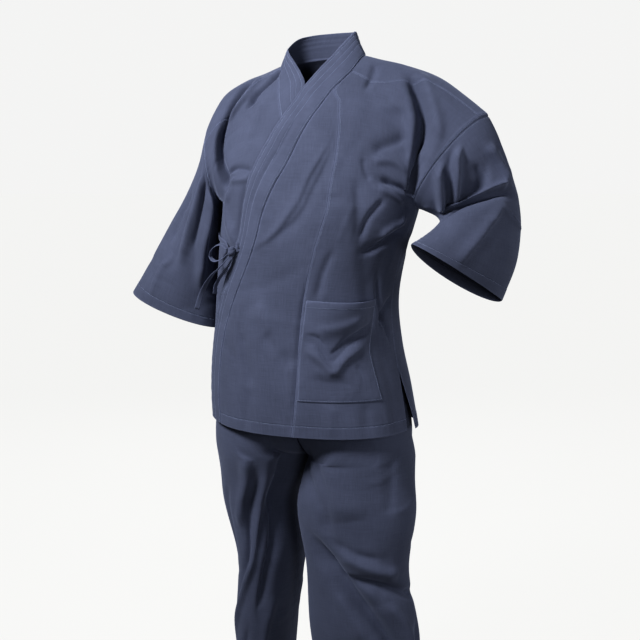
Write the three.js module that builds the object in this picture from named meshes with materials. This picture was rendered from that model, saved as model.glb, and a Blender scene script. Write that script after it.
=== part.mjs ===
import * as THREE from "three";

// Samue: a wrap jacket with wide three-quarter sleeves and loose trousers, plain woven cotton,
// in the pose in which it is worn. The front faces -Y, its own left side is +X, +Z is up.
// The origin lies midway between the two points where shoulder line and neck meet.
// All sizes are millimetres.

// Cloth walls
const CLOTH = 1.6;
const BAND_THICKNESS = 2.6;
const SEAM_GAP = 0.36;
const WRAP_LIFT = 5.0;
const POCKET_LIFT = 2.2;
const POCKET_PUFF = 24.0;

// Grid counts: rows above and below the armhole level, columns of each panel
const ROWS_CHEST = 13;
const ROWS_SKIRT = 14;
const ROWS_YOKE = 3;
const COLS_FRONT = 11;
const COLS_OVERLAP = 5;
const COLS_NECK = 8;
const COLS_CORNER = 2;
const COLS_BAND = 3;
const ROWS_SLEEVE = 14;
const ROWS_LEG_TOP = 7;
const ROWS_LEG = 12;
const COLS_LEG = 22;
const ROWS_POCKET = 8;
const COLS_POCKET = 9;

// Slits at the side seams open below this share of the skirt
const SLIT_START = 0.72;
const SLIT_BACK = 0.055;
const SLIT_FRONT = 0.012;
const SLIT_FLARE = 9;

const COTTON = { color: 0x2f3548, roughness: 0.86 };
const COTTON_BAND = { color: 0x30364a, roughness: 0.84 };
const COTTON_TIE = { color: 0x343a4d, roughness: 0.85 };

// A table becomes one array for each named column
function columns(names, rows) {
  const table = {};
  names.forEach((name, i) => {
    table[name] = rows.map((row) => row[i]);
  });
  return table;
}

// Level sections of the jacket's body: centre, half width, depth to front and back, and how far
// the side seams lie towards the front, in degrees
const TORSO = columns(["z", "cx", "cy", "a", "front", "back", "turn"], [
  [-250, 2, 8, 210, 142, 128, 5],
  [-300, 0, 6, 208, 146, 130, 5],
  [-390, -16, 2, 199, 144, 128, 7],
  [-490, -28, 0, 194, 142, 128, 9],
  [-580, -26, -2, 200, 146, 134, 10],
  [-670, -17, -4, 211, 152, 146, 11],
  [-760, -7, -4, 217, 156, 152, 12],
  [-830, -3, -4, 221, 158, 156, 12],
]);

// The shoulder line from the right armhole (s = -1) over the neck to the left armhole (s = 1)
const RIDGE = columns(["s", "x", "y", "z"], [
  [-1, -242, 5, -132],
  [-0.9, -228, 5, -102],
  [-0.78, -208, 6, -72],
  [-0.6, -165, 8, -46],
  [-0.45, -122, 9, -31],
  [-0.34, -86, 10, -17],
  [0, 2, 10, -4],
  [0.34, 91, 10, 0],
  [0.45, 124, 11, -8],
  [0.6, 178, 13, -21],
  [0.78, 252, 16, -49],
  [0.9, 306, 14, -87],
  [1, 345, 12, -118],
]);

// Armholes: the lowest point, and how far the front and back halves stand off the chord
const ARMHOLE = {
  left: { foot: [208, -12, -302], front: [-14, -58, 6], back: [-4, 62, 4] },
  right: { foot: [-212, -14, -296], front: [2, -66, 0], back: [2, 68, 0] },
};

const ARM_LEVEL = columns(["s", "z"], [
  [-1, -296],
  [0, -300],
  [1, -302],
]);

const HEM = columns(["s", "front", "back"], [
  [-1, -732, -732],
  [-0.6, -750, -742],
  [0, -757, -746],
  [0.6, -757, -750],
  [1, -751, -751],
]);

// Shoulder seams: how far down the front shell the front panels begin
const SHOULDER_LEFT = columns(["s", "t"], [
  [0.3, 0.24],
  [0.42, 0.285],
  [0.52, 0.28],
  [0.63, 0.21],
  [0.72, 0.16],
  [0.85, 0.13],
  [1, 0.12],
]);
const SHOULDER_RIGHT = columns(["s", "t"], [
  [-1, 0.33],
  [-0.85, 0.36],
  [-0.68, 0.37],
  [-0.58, 0.33],
  [-0.5, 0.24],
  [-0.44, 0.14],
  [-0.38, 0.08],
  [-0.334, 0.06],
]);

// The left band: its seam to the front, and for each seam level the level and place of its free edge
const BAND_LEFT = columns(["t", "seam", "edgeT", "edge"], [
  [0, 0.34, 0, 0.2],
  [0.24, 0.29, 0.2, 0.05],
  [0.32, 0.235, 0.26, 0.01],
  [0.37, 0.19, 0.34, -0.04],
  [0.53, 0.08, 0.46, -0.1],
  [0.61, 0.025, 0.55, -0.165],
  [0.78, -0.06, 0.71, -0.268],
  [0.9, -0.14, 0.86, -0.355],
  [1.03, -0.205, 1.01, -0.395],
  [1.18, -0.24, 1.17, -0.42],
  [1.29, -0.3, 1.27, -0.485],
  [1.4, -0.38, 1.375, -0.575],
  [1.54, -0.485, 1.52, -0.69],
  [1.68, -0.555, 1.67, -0.755],
  [1.83, -0.595, 1.825, -0.79],
  [2, -0.61, 2, -0.8],
]);

// The right band, which runs down the chest under the left front
const BAND_RIGHT = columns(["t", "seam", "edgeT", "edge"], [
  [0, -0.34, 0, -0.2],
  [0.06, -0.334, 0.05, -0.19],
  [0.22, -0.305, 0.2, -0.11],
  [0.31, -0.28, 0.3, -0.055],
  [0.42, -0.24, 0.4, -0.03],
  [0.53, -0.187, 0.5, 0.01],
  [0.75, -0.08, 0.71, 0.11],
  [1, 0.08, 0.97, 0.28],
  [1.2, 0.19, 1.18, 0.39],
  [1.5, 0.36, 1.485, 0.56],
  [1.75, 0.46, 1.745, 0.66],
  [2, 0.5, 2, 0.7],
]);

// Seam between the overlap panel and the left front
const OVERLAP_SEAM = columns(["t", "s"], [
  [0.356, 0.212],
  [0.5, 0.236],
  [0.65, 0.246],
  [0.79, 0.234],
  [0.9, 0.208],
  [1.07, 0.18],
  [1.22, 0.163],
  [1.46, 0.132],
  [1.7, 0.085],
  [2, 0.015],
]);

// The band round the neck: free edge from the left chest (c = 0.46) to the right chest (c = -0.46)
const NECK_EDGE = columns(["c", "x", "y", "z"], [
  [-0.4, -66, -8, 8],
  [-0.34, -72, 12, 20],
  [-0.26, -64, 40, 38],
  [-0.16, -44, 64, 47],
  [0, 1, 77, 52],
  [0.16, 45, 63, 52],
  [0.26, 64, 38, 50],
  [0.34, 66, 11, 46],
  [0.37, 58, -4, 32],
  [0.4, 46, -20, 14],
]);

// Sleeves: outer line o, inner line i, and the stand-off of the front f and the back b
const SLEEVE_NAMES = ["q", "ox", "oy", "oz", "ix", "iy", "iz", "fx", "fy", "fz", "bx", "by", "bz"];
const SLEEVE_LEFT = columns(SLEEVE_NAMES, [
  [0, 345, 12, -118, 208, -12, -302, -14, -58, 6, -4, 62, 4],
  [0.2, 374, 20, -180, 232, -4, -312, -10, -56, 4, 0, 60, 2],
  [0.38, 394, 32, -248, 250, 2, -322, -4, -40, -4, 4, 58, 0],
  [0.5, 404, 42, -298, 258, -4, -334, 4, -72, 18, 6, 54, 0],
  [0.62, 407, 50, -342, 256, -26, -341, 8, -74, 14, 6, 50, -2],
  [0.8, 402, 50, -414, 243, -68, -356, 12, -58, 7, -8, 50, -8],
  [1, 376, 38, -490, 229, -110, -370, 15, -40, 6, -30, 50, -20],
]);
const SLEEVE_RIGHT = columns(SLEEVE_NAMES, [
  [0, -242, 5, -132, -212, -14, -296, 2, -66, 0, 2, 68, 0],
  [0.2, -260, 6, -200, -221, -8, -330, 4, -70, 2, 0, 72, 2],
  [0.4, -298, 8, -276, -226, -4, -386, 4, -70, 2, 0, 74, 2],
  [0.6, -341, 10, -346, -229, 0, -446, 2, -66, 2, -2, 72, 2],
  [0.8, -389, 13, -420, -231, 5, -506, -2, -62, 1, -4, 68, 1],
  [1, -438, 15, -494, -233, 10, -566, -6, -58, -2, -6, 64, 0],
]);

// Trousers: middle plane and half width down to the crotch, then one table for each leg
const WAIST_TOP = -468;
const WAIST_HEIGHT = 36;
const CROTCH = -818;
const TROUSER_HEM = -1404;
const PELVIS = columns(["z", "mid", "ratio", "left", "right", "cy", "front", "back"], [
  [-460, -20, 0, 150, 150, 2, 112, 108],
  [-560, -20, 0.036, 168, 168, 2, 118, 116],
  [-640, -19, 0.141, 172, 169, 2, 124, 122],
  [-720, -18, 0.4, 150, 145.2, 0, 127, 124],
  [-780, -17, 0.74, 124, 119.2, -2, 122, 118],
  [-818, -16, 1.0157, 110, 101.5, -4, 114, 112],
]);
const LEG_NAMES = ["z", "cx", "cy", "a", "front", "back"];
const LEG_LEFT = columns(LEG_NAMES, [
  [-818, 95.7, -4, 110, 114, 112],
  [-860, 93, -18, 118, 98, 96],
  [-920, 92, -30, 127, 90, 84],
  [-1050, 94, -30, 109, 82, 76],
  [-1180, 108, -25, 116, 80, 74],
  [-1260, 117, -22, 114, 80, 74],
  [-1410, 128, -16, 108, 78, 74],
]);
const LEG_RIGHT = columns(LEG_NAMES, [
  [-818, -119.1, -4, 101.5, 114, 112],
  [-860, -131, 8, 88, 114, 112],
  [-920, -141, 18, 74, 116, 114],
  [-1050, -119, 22, 61, 118, 116],
  [-1180, -127, 24, 56, 116, 114],
  [-1260, -131, 24, 53, 114, 112],
  [-1410, -139, 22, 52, 110, 108],
]);

// The pocket on the left front: its left and right edges at each level
const POCKET = columns(["t", "left", "right"], [
  [1.4, 0.165, 0.758],
  [1.52, 0.142, 0.7],
  [1.61, 0.12, 0.62],
  [1.7, 0.1, 0.67],
  [1.84, 0.07, 0.71],
]);

// Folds of the body, each from (s0, t0) to (s1, t1): half width and depth, below zero for a trough
const FOLD_NAMES = ["s0", "t0", "s1", "t1", "width", "depth"];
const BODY_FOLDS = [
  [-0.86, 0.34, -0.9, 0.86, 17, -17],
  [-0.52, 0.1, -0.72, 0.36, 13, -11],
  [-0.62, 0.86, -0.46, 0.84, 9, -7],
  [0.74, 0.24, 0.82, 0.86, 15, -16],
  [0.66, 0.2, 0.7, 0.75, 14, 6],
  [0.66, 0.86, 0.96, 0.98, 11, -9],
  [0.7, 1.02, 0.56, 1.22, 14, 5],
  [0.8, 1.14, 0.62, 1.22, 14, -7],
  [0.16, 0.76, -0.2, 1.2, 9, 3.5],
  [-0.42, 1.6, -0.34, 1.84, 14, -5],
  [-0.14, 1.62, 0.02, 1.78, 15, -7],
  [-0.17, 1.5, -0.04, 1.72, 14, 5],
  [0.4, 0.1, 0.36, 0.4, 11, -4],
].map((row) => Object.fromEntries(FOLD_NAMES.map((name, i) => [name, row[i]])));
const BACK_FOLDS = [
  [-0.7, 0.45, -0.82, 0.95, 20, -12],
  [0.64, 0.4, 0.8, 0.95, 20, -12],
  [-0.3, 1.1, -0.2, 1.7, 24, -5],
  [0.35, 1.15, 0.25, 1.75, 24, -5],
  [0.05, 0.7, 0.05, 1.4, 26, 4],
  [-0.75, 1.3, -0.45, 1.42, 16, -5],
  [0.78, 1.25, 0.5, 1.4, 16, -5],
].map((row) => Object.fromEntries(FOLD_NAMES.map((name, i) => [name, row[i]])));

// Folds of sleeves and legs, in length share and turn share
const TUBE_FOLD_NAMES = ["q0", "p0", "q1", "p1", "width", "depth"];
const tubeFolds = (rows) => rows.map((row) => Object.fromEntries(TUBE_FOLD_NAMES.map((name, i) => [name, row[i]])));
const SLEEVE_LEFT_FOLDS = tubeFolds([
  [0.08, 0.24, 0.4, 0.16, 14, -9],
  [0.12, 0.33, 0.42, 0.27, 12, -6],
  [0.2, 0.4, 0.44, 0.36, 11, 5],
  [0.56, 0.44, 0.98, 0.2, 12, -5],
  [0.1, 0.7, 0.45, 0.8, 18, -8],
  [0.5, 0.66, 0.9, 0.75, 18, -6],
]);
const SLEEVE_RIGHT_FOLDS = tubeFolds([
  [0.1, 0.16, 0.62, 0.1, 14, -12],
  [0.3, 0.26, 0.8, 0.18, 16, -7],
  [0.15, 0.36, 0.6, 0.3, 15, 5],
  [0.2, 0.72, 0.7, 0.82, 20, -8],
  [0.15, 0.9, 0.5, 0.92, 16, -8],
]);
const LEG_LEFT_FOLDS = tubeFolds([
  [0.42, 0.02, 0.62, 0.2, 17, -7],
  [0.55, 0.06, 0.92, 0.3, 18, -9],
  [0.66, 0.26, 0.68, 0.42, 16, 6],
  [0.36, 0.2, 0.56, 0.22, 16, 5],
  [0.6, 0.72, 0.64, 0.9, 20, -7],
  [0.8, 0.6, 0.84, 0.8, 20, -6],
]);
const LEG_RIGHT_FOLDS = tubeFolds([
  [0.4, 0.22, 0.66, 0.26, 18, 6],
  [0.42, 0.1, 0.72, 0.16, 16, -7],
  [0.7, 0.3, 0.95, 0.4, 18, 6],
  [0.6, 0.7, 0.64, 0.9, 20, -7],
]);

// Points and directions
const add = (p, q) => [p[0] + q[0], p[1] + q[1], p[2] + q[2]];
const sub = (p, q) => [p[0] - q[0], p[1] - q[1], p[2] - q[2]];
const scale = (p, k) => [p[0] * k, p[1] * k, p[2] * k];
const mix = (p, q, w) => [p[0] + (q[0] - p[0]) * w, p[1] + (q[1] - p[1]) * w, p[2] + (q[2] - p[2]) * w];
const dot = (p, q) => p[0] * q[0] + p[1] * q[1] + p[2] * q[2];
const cross = (p, q) => [
  p[1] * q[2] - p[2] * q[1],
  p[2] * q[0] - p[0] * q[2],
  p[0] * q[1] - p[1] * q[0],
];
const length = (p) => Math.hypot(p[0], p[1], p[2]);
const unit = (p) => scale(p, 1 / Math.max(length(p), 1e-9));
const clamp = (x, low, high) => Math.min(Math.max(x, low), high);
const lerp = (a, b, w) => a + (b - a) * w;

function step(low, high, x) {
  const u = clamp((x - low) / (high - low), 0, 1);
  return u * u * (3 - 2 * u);
}

// Smooth reading of one column at a value of the key column, which may rise or fall
function at(table, key, column, value) {
  const keys = table[key];
  const vals = table[column];
  const last = keys.length - 1;
  const rising = keys[last] > keys[0];
  const x = rising ? clamp(value, keys[0], keys[last]) : clamp(value, keys[last], keys[0]);
  let i = 0;
  while (i < last - 1 && (rising ? x >= keys[i + 1] : x <= keys[i + 1])) {
    i += 1;
  }
  const slope = (k) => (vals[k + 1] - vals[k]) / (keys[k + 1] - keys[k]);
  const m0 = i === 0 ? slope(0) : (slope(i - 1) + slope(i)) / 2;
  const m1 = i === last - 1 ? slope(last - 1) : (slope(i) + slope(i + 1)) / 2;
  const h = keys[i + 1] - keys[i];
  const u = (x - keys[i]) / h;
  const u2 = u * u;
  const u3 = u2 * u;
  return (2 * u3 - 3 * u2 + 1) * vals[i] + (u3 - 2 * u2 + u) * h * m0
    + (3 * u2 - 2 * u3) * vals[i + 1] + (u3 - u2) * h * m1;
}

// The jacket's body as one shell: s runs from the right side (-1) to the left side (1),
// t from the shoulder line (0) by the armhole level (1) to the hem (2)
const bulge = (x) => Math.sign(x) * Math.abs(x) ** 0.92;

function torso(degrees, z) {
  const angle = (degrees * Math.PI) / 180;
  const cos = Math.cos(angle);
  const depth = at(TORSO, "z", cos > 0 ? "front" : "back", z);
  return [
    at(TORSO, "z", "cx", z) + at(TORSO, "z", "a", z) * bulge(Math.sin(angle)),
    at(TORSO, "z", "cy", z) - depth * bulge(cos),
    z,
  ];
}

function sideAngle(s, z, face) {
  const turn = at(TORSO, "z", "turn", z);
  return face > 0 ? s * (90 - turn) : 180 - s * (90 + turn);
}

function ridge(s, face) {
  const point = [at(RIDGE, "s", "x", s), at(RIDGE, "s", "y", s), at(RIDGE, "s", "z", s)];
  if (face < 0) {
    const behind = clamp(1 - (s / 0.34) ** 2, 0, 1);
    point[1] += 64 * Math.sqrt(behind);
    point[2] += 4 * behind;
  }
  return point;
}

function foldShift(folds, a, b, scaleA, scaleB, keys) {
  let shift = 0;
  for (const fold of folds) {
    const a0 = fold[keys[0]] * scaleA;
    const b0 = fold[keys[1]] * scaleB;
    const da = fold[keys[2]] * scaleA - a0;
    const db = fold[keys[3]] * scaleB - b0;
    const pa = a * scaleA - a0;
    const pb = b * scaleB - b0;
    const u = (pa * da + pb * db) / (da * da + db * db);
    const v = clamp(u, 0, 1);
    const gap = Math.hypot(pa - da * v, pb - db * v);
    const ends = step(-0.15, 0.3, u) * step(-0.15, 0.3, 1 - u);
    shift += fold.depth * Math.exp(-((gap / fold.width) ** 2)) * ends;
  }
  return shift;
}

function bodyPlain(s, t, face) {
  const level = at(ARM_LEVEL, "s", "z", s);
  const arm = s > 0 ? ARMHOLE.left : ARMHOLE.right;
  const onTorso = torso(sideAngle(s, level, face), level);
  const foot = mix(onTorso, arm.foot, step(0.86, 1, Math.abs(s)));
  if (t > 1) {
    const v = t - 1;
    const hem = at(HEM, "s", face > 0 ? "front" : "back", s);
    const z = level + (hem - level) * v;
    const low = torso(sideAngle(s, z, face), z);
    return add(low, scale(sub(foot, onTorso), Math.exp(-v / 0.05)));
  }
  const top = ridge(s, face);
  const theta = (t * Math.PI) / 2;
  const drop = 1 - Math.cos(theta);
  const out = Math.sin(theta);
  const over = [
    lerp(top[0], foot[0], 0.6 * drop + 0.4 * t),
    lerp(top[1], foot[1], 0.62 * out + 0.38 * t),
    lerp(top[2], foot[2], 0.75 * drop + 0.25 * t),
  ];
  const half = scale(sub(top, foot), 0.5);
  const ring = add(
    add(scale(add(top, foot), 0.5), scale(half, Math.cos(Math.PI * t))),
    scale(face > 0 ? arm.front : arm.back, Math.sin(Math.PI * t)),
  );
  return mix(over, ring, step(0.45, 1, Math.abs(s)));
}

function outward(fn, a, b, sign) {
  const e = 0.004;
  const da = sub(fn(a + e, b), fn(a - e, b));
  const db = sub(fn(a, b + e), fn(a, b - e));
  return scale(unit(cross(da, db)), sign);
}

function body(s, t, face, lift = 0) {
  const point = bodyPlain(s, t, face);
  const fade = (1 - step(0.92, 0.995, Math.abs(s))) * step(0.01, 0.1, t);
  const keys = ["s0", "t0", "s1", "t1"];
  const fold = fade * foldShift(face > 0 ? BODY_FOLDS : BACK_FOLDS, s, t, 285, 400, keys);
  const shift = fold + lift;
  if (Math.abs(shift) < 1e-6) {
    return point;
  }
  const s1 = clamp(s, -0.99, 0.99);
  const t1 = clamp(t, 0.012, 1.99);
  const n = outward((p, q) => bodyPlain(p, q, face), s1, t1, face > 0 ? -1 : 1);
  return add(point, scale(n, shift));
}

// How far the wrapped-over left side stands off, to leave room for the right side below it
function wrapLift(s, t) {
  const edge = at(BAND_RIGHT, "t", "edge", t);
  return WRAP_LIFT * (1 - step(edge + 0.03, edge + 0.17, s));
}

const front = (s, t) => body(s, t, 1, 0);
const frontOver = (s, t) => body(s, t, 1, wrapLift(s, t));
const signedBody = (s, t) => (t >= 0 ? body(s, t, 1, 0) : body(s, -t, -1, 0));

// Grids of cloth. Each one is rows of points, with its thickness and the side that faces out
const sheets = [];

function makeSheet(name, group, counts, fn, options = {}) {
  const points = [];
  for (let i = 0; i <= counts[0]; i += 1) {
    const line = [];
    for (let j = 0; j <= counts[1]; j += 1) {
      line.push(fn(i, j));
    }
    points.push(line);
  }
  const sheet = {
    name,
    group,
    points,
    nu: counts[0],
    nv: counts[1],
    thickness: options.thickness ?? CLOTH,
    finish: options.finish ?? COTTON,
    flip: options.flip ?? false,
    closed: options.closed ?? false,
  };
  sheet.normals = gridNormals(sheet);
  sheets.push(sheet);
  return sheet;
}

function gridNormals(sheet) {
  const { points, nu, nv, closed, flip } = sheet;
  return points.map((line, i) => line.map((p, j) => {
    const before = closed ? points[(i - 1 + nu) % nu] : points[Math.max(i - 1, 0)];
    const after = closed ? points[(i + 1) % nu] : points[Math.min(i + 1, nu)];
    const du = sub(after[j], before[j]);
    const dv = sub(line[Math.min(j + 1, nv)], line[Math.max(j - 1, 0)]);
    return scale(unit(cross(du, dv)), flip ? -1 : 1);
  }));
}

// Rows shared by all panels that meet along a seam
function chestRow(top, j) {
  return j <= ROWS_CHEST ? lerp(top, 1, j / ROWS_CHEST) : 1 + (j - ROWS_CHEST) / ROWS_SKIRT;
}

const ROWS_FRONT = ROWS_CHEST + ROWS_SKIRT;
const LEFT_TOP = 0.24;
const RIGHT_TOP = 0.06;
const OVERLAP_ROW = 2;
const overlapTop = chestRow(LEFT_TOP, OVERLAP_ROW);

const bandSeamLeft = (t) => at(BAND_LEFT, "t", "seam", t);
const bandSeamRight = (t) => at(BAND_RIGHT, "t", "seam", t);

function leftInner(t) {
  if (t < overlapTop) {
    return bandSeamLeft(t) + 0.006 * step(LEFT_TOP, overlapTop, t);
  }
  const open = step(overlapTop, overlapTop + 0.12, t);
  return lerp(bandSeamLeft(t) + 0.006, at(OVERLAP_SEAM, "t", "s", t), open);
}

// A side slit: the edge near s = 1 draws back below the start of the slit
function slit(s, t, amount) {
  const open = clamp((t - 1 - SLIT_START) / (1 - SLIT_START), 0, 1);
  return s * (1 - amount * open * step(0.7, 1, Math.abs(s)));
}

// Front panels share their top points with the back panel along the shoulder seam
function frontPoint(i, j, side) {
  const left = side > 0;
  const u = i / COLS_FRONT;
  const shoulder = left ? SHOULDER_LEFT : SHOULDER_RIGHT;
  const topStart = left ? bandSeamLeft(LEFT_TOP) : bandSeamRight(RIGHT_TOP);
  const inner = left ? leftInner : bandSeamRight;
  const topS = lerp(topStart, side, u);
  const topT = left && i === 0 ? LEFT_TOP : at(shoulder, "s", "t", topS);
  const t = chestRow(i === 0 && !left ? RIGHT_TOP : topT, j);
  const topShare = (topS - inner(topT)) / (side - inner(topT));
  const share = lerp(topShare, u, step(0, 0.4, j / ROWS_FRONT));
  const s = i === 0 ? inner(t) : lerp(inner(t), side, share);
  const cut = slit(s, t, SLIT_FRONT);
  return left ? frontOver(cut, t) : front(cut, t);
}

makeSheet("left_front", "jacket", [COLS_FRONT, ROWS_FRONT], (i, j) => frontPoint(i, j, 1), { flip: true });
makeSheet("right_front", "jacket", [COLS_FRONT, ROWS_FRONT], (i, j) => frontPoint(i, j, -1));

makeSheet("left_overlap", "jacket", [COLS_OVERLAP, ROWS_FRONT - OVERLAP_ROW], (i, j) => {
  const t = chestRow(LEFT_TOP, j + OVERLAP_ROW);
  const s = lerp(bandSeamLeft(t), leftInner(t), i / COLS_OVERLAP);
  return frontOver(s, t);
}, { flip: true });

// The back panel reaches over the shoulders to the front panels; t below zero is the back
const BACK_COLS = 2 * (COLS_FRONT + COLS_CORNER) + COLS_NECK;
const ROWS_BACK = ROWS_YOKE + ROWS_CHEST + ROWS_SKIRT;

function backColumn(i) {
  const side = i <= BACK_COLS / 2 ? -1 : 1;
  const k = side < 0 ? i : BACK_COLS - i;
  const shoulder = side < 0 ? SHOULDER_RIGHT : SHOULDER_LEFT;
  const topStart = side < 0 ? bandSeamRight(RIGHT_TOP) : bandSeamLeft(LEFT_TOP);
  const cornerT = side < 0 ? RIGHT_TOP : LEFT_TOP;
  const seam = side < 0 ? bandSeamRight : bandSeamLeft;
  const low = side * lerp(1, 0, k / (BACK_COLS / 2));
  if (k <= COLS_FRONT) {
    const u = 1 - k / COLS_FRONT;
    const topS = lerp(topStart, side, u);
    const topT = u === 0 ? cornerT : at(shoulder, "s", "t", topS);
    return { topS, topT, midS: side * lerp(0.365, 1, u), low };
  }
  if (k <= COLS_FRONT + COLS_CORNER) {
    const b = 1 - (k - COLS_FRONT) / COLS_CORNER;
    const topT = cornerT * b;
    return { topS: seam(topT), topT, midS: side * lerp(0.34, 0.365, b), low };
  }
  const c = side * 0.34 * (1 - (k - COLS_FRONT - COLS_CORNER) / (COLS_NECK / 2));
  return { topS: c, topT: 0, midS: c, low };
}

makeSheet("jacket_back", "jacket", [BACK_COLS, ROWS_BACK], (i, j) => {
  const column = backColumn(i);
  if (j < ROWS_YOKE) {
    const w = j / ROWS_YOKE;
    const t = lerp(column.topT, 0, w);
    const s = lerp(column.topS, column.midS, w);
    if (column.topT === 0) {
      const near = signedBody(column.midS, -0.0001);
      return mix(near, signedBody(column.midS, -1 / ROWS_CHEST), 0.25 * w);
    }
    return signedBody(s, Math.max(t, 0));
  }
  const down = chestRow(0, j - ROWS_YOKE);
  const first = column.topT === 0 && j === ROWS_YOKE;
  const s = lerp(column.midS, column.low, step(0, 0.9, down));
  if (first) {
    const near = signedBody(column.midS, -0.0001);
    return mix(near, signedBody(column.midS, -1 / ROWS_CHEST), 0.25);
  }
  const flare = SLIT_FLARE * step(1 + SLIT_START, 2, down) * step(0.75, 1, Math.abs(s));
  const place = slit(s, down, SLIT_BACK);
  return body(place, Math.max(down, 0.0001), -1, flare);
});

// Sleeves: rings from the armhole (q = 0) to the cuff (q = 1). Turn 0 is the seam below the arm,
// then the front up to the outer line, and the back down again
function sleeveSection(table, q) {
  const read = (a, b, c) => [at(table, "q", a, q), at(table, "q", b, q), at(table, "q", c, q)];
  return {
    outer: read("ox", "oy", "oz"),
    inner: read("ix", "iy", "iz"),
    front: read("fx", "fy", "fz"),
    back: read("bx", "by", "bz"),
  };
}

function sleevePlain(table, q, turn) {
  const { outer, inner, front: forward, back } = sleeveSection(table, q);
  const middle = scale(add(outer, inner), 0.5);
  const half = scale(sub(outer, inner), 0.5);
  const angle = turn * 2 * Math.PI;
  const swing = turn <= 0.5 ? forward : back;
  return add(add(middle, scale(half, -Math.cos(angle))), scale(swing, Math.abs(Math.sin(angle))));
}

function sleevePoint(table, folds, q, turn, sign) {
  const point = sleevePlain(table, q, turn);
  const fade = step(0.02, 0.12, q) * step(0.0, 0.04, turn) * step(0.0, 0.04, 1 - turn);
  const shift = fade * foldShift(folds, q, turn, 420, 520, ["q0", "p0", "q1", "p1"]);
  if (Math.abs(shift) < 1e-6) {
    return point;
  }
  const n = outward((a, b) => sleevePlain(table, a, b), clamp(q, 0.01, 0.99), clamp(turn, 0.01, 0.99), sign);
  return add(point, scale(n, shift));
}

// Turns at which the sleeve meets the rows of the front panel, the yoke and the back panel
function armTurns(shoulderTop) {
  const turns = [];
  for (let j = ROWS_CHEST; j >= 0; j -= 1) {
    turns.push((1 - chestRow(shoulderTop, j)) / 2);
  }
  for (let j = 1; j <= ROWS_YOKE; j += 1) {
    turns.push((1 - lerp(shoulderTop, 0, j / ROWS_YOKE)) / 2);
  }
  for (let j = 1; j <= ROWS_CHEST; j += 1) {
    turns.push(0.5 + chestRow(0, j) / 2);
  }
  return turns;
}

function addSleeve(name, table, folds, shoulderTop, flip) {
  const turns = armTurns(shoulderTop);
  const sign = flip ? -1 : 1;
  makeSheet(name, "jacket", [turns.length - 1, ROWS_SLEEVE], (i, j) => {
    return sleevePoint(table, folds, j / ROWS_SLEEVE, turns[i], sign);
  }, { flip });
}

addSleeve("sleeve_left", SLEEVE_LEFT, SLEEVE_LEFT_FOLDS, at(SHOULDER_LEFT, "s", "t", 1), true);
addSleeve("sleeve_right", SLEEVE_RIGHT, SLEEVE_RIGHT_FOLDS, at(SHOULDER_RIGHT, "s", "t", -1), false);

// The collar band: one strip from the left hem edge round the neck to the right hem edge
function bandStations() {
  const stations = [];
  for (let j = ROWS_FRONT; j >= 0; j -= 1) {
    const t = chestRow(LEFT_TOP, j);
    const seam = frontOver(bandSeamLeft(t), t);
    const edgeT = at(BAND_LEFT, "t", "edgeT", t);
    const edge = frontOver(at(BAND_LEFT, "t", "edge", t), edgeT);
    const lifted = mix(edge, neckEdge(0.4 + (t - LEFT_TOP) * 0.6), 1 - step(0.24, 0.44, t));
    stations.push({ seam, edge: lifted });
  }
  for (let i = BACK_COLS - COLS_FRONT - 1; i >= COLS_FRONT + 1; i -= 1) {
    const column = backColumn(i);
    const seam = column.topT === 0 ? signedBody(column.midS, -0.0001) : signedBody(column.topS, column.topT);
    const c = column.topT === 0 ? column.topS : Math.sign(column.topS) * (0.34 + column.topT * 0.25);
    const edge = neckEdge(c);
    const clear = 0.03 * step(0.18, 0.3, Math.abs(c));
    stations.push({ seam: mix(seam, edge, clear), edge });
  }
  for (let j = 0; j <= ROWS_FRONT; j += 1) {
    const t = chestRow(RIGHT_TOP, j);
    const seam = front(bandSeamRight(t), t);
    const edgeT = at(BAND_RIGHT, "t", "edgeT", t);
    const edge = front(at(BAND_RIGHT, "t", "edge", t), edgeT);
    const lifted = mix(edge, neckEdge(-0.355 - (t - RIGHT_TOP) * 0.4), 1 - step(0.1, 0.34, t));
    stations.push({ seam, edge: lifted });
  }
  return stations;
}

function neckEdge(c) {
  return [at(NECK_EDGE, "c", "x", c), at(NECK_EDGE, "c", "y", c), at(NECK_EDGE, "c", "z", c)];
}

const stations = bandStations();
makeSheet("collar", "jacket", [stations.length - 1, COLS_BAND], (i, j) => {
  return mix(stations[i].seam, stations[i].edge, j / COLS_BAND);
}, { thickness: BAND_THICKNESS, finish: COTTON_BAND });

// The pocket lies on the left front and gapes at the mouth
makeSheet("pocket", "jacket", [COLS_POCKET, ROWS_POCKET], (i, j) => {
  const u = i / COLS_POCKET;
  const t = lerp(1.4, 1.84, j / ROWS_POCKET);
  const s = lerp(at(POCKET, "t", "left", t), at(POCKET, "t", "right", t), u);
  const gape = POCKET_PUFF * Math.sin(Math.PI * u) ** 1.2 * (1 - step(1.4, 1.62, t));
  return body(s, t, 1, wrapLift(s, t) + POCKET_LIFT + gape);
}, { flip: true });

// Trousers: each leg one panel, open at the middle plane above the crotch and a ring below it
function legSection(side, z) {
  if (z >= CROTCH) {
    const read = (name) => at(PELVIS, "z", name, z);
    const a = read(side > 0 ? "left" : "right");
    const cx = read("mid") + side * read("ratio") * a;
    return { mid: read("mid"), cx, cy: read("cy"), a, front: read("front"), back: read("back") };
  }
  const table = side > 0 ? LEG_LEFT : LEG_RIGHT;
  const read = (name) => at(table, "z", name, z);
  return { mid: null, cx: read("cx"), cy: read("cy"), a: read("a"), front: read("front"), back: read("back") };
}

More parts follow.
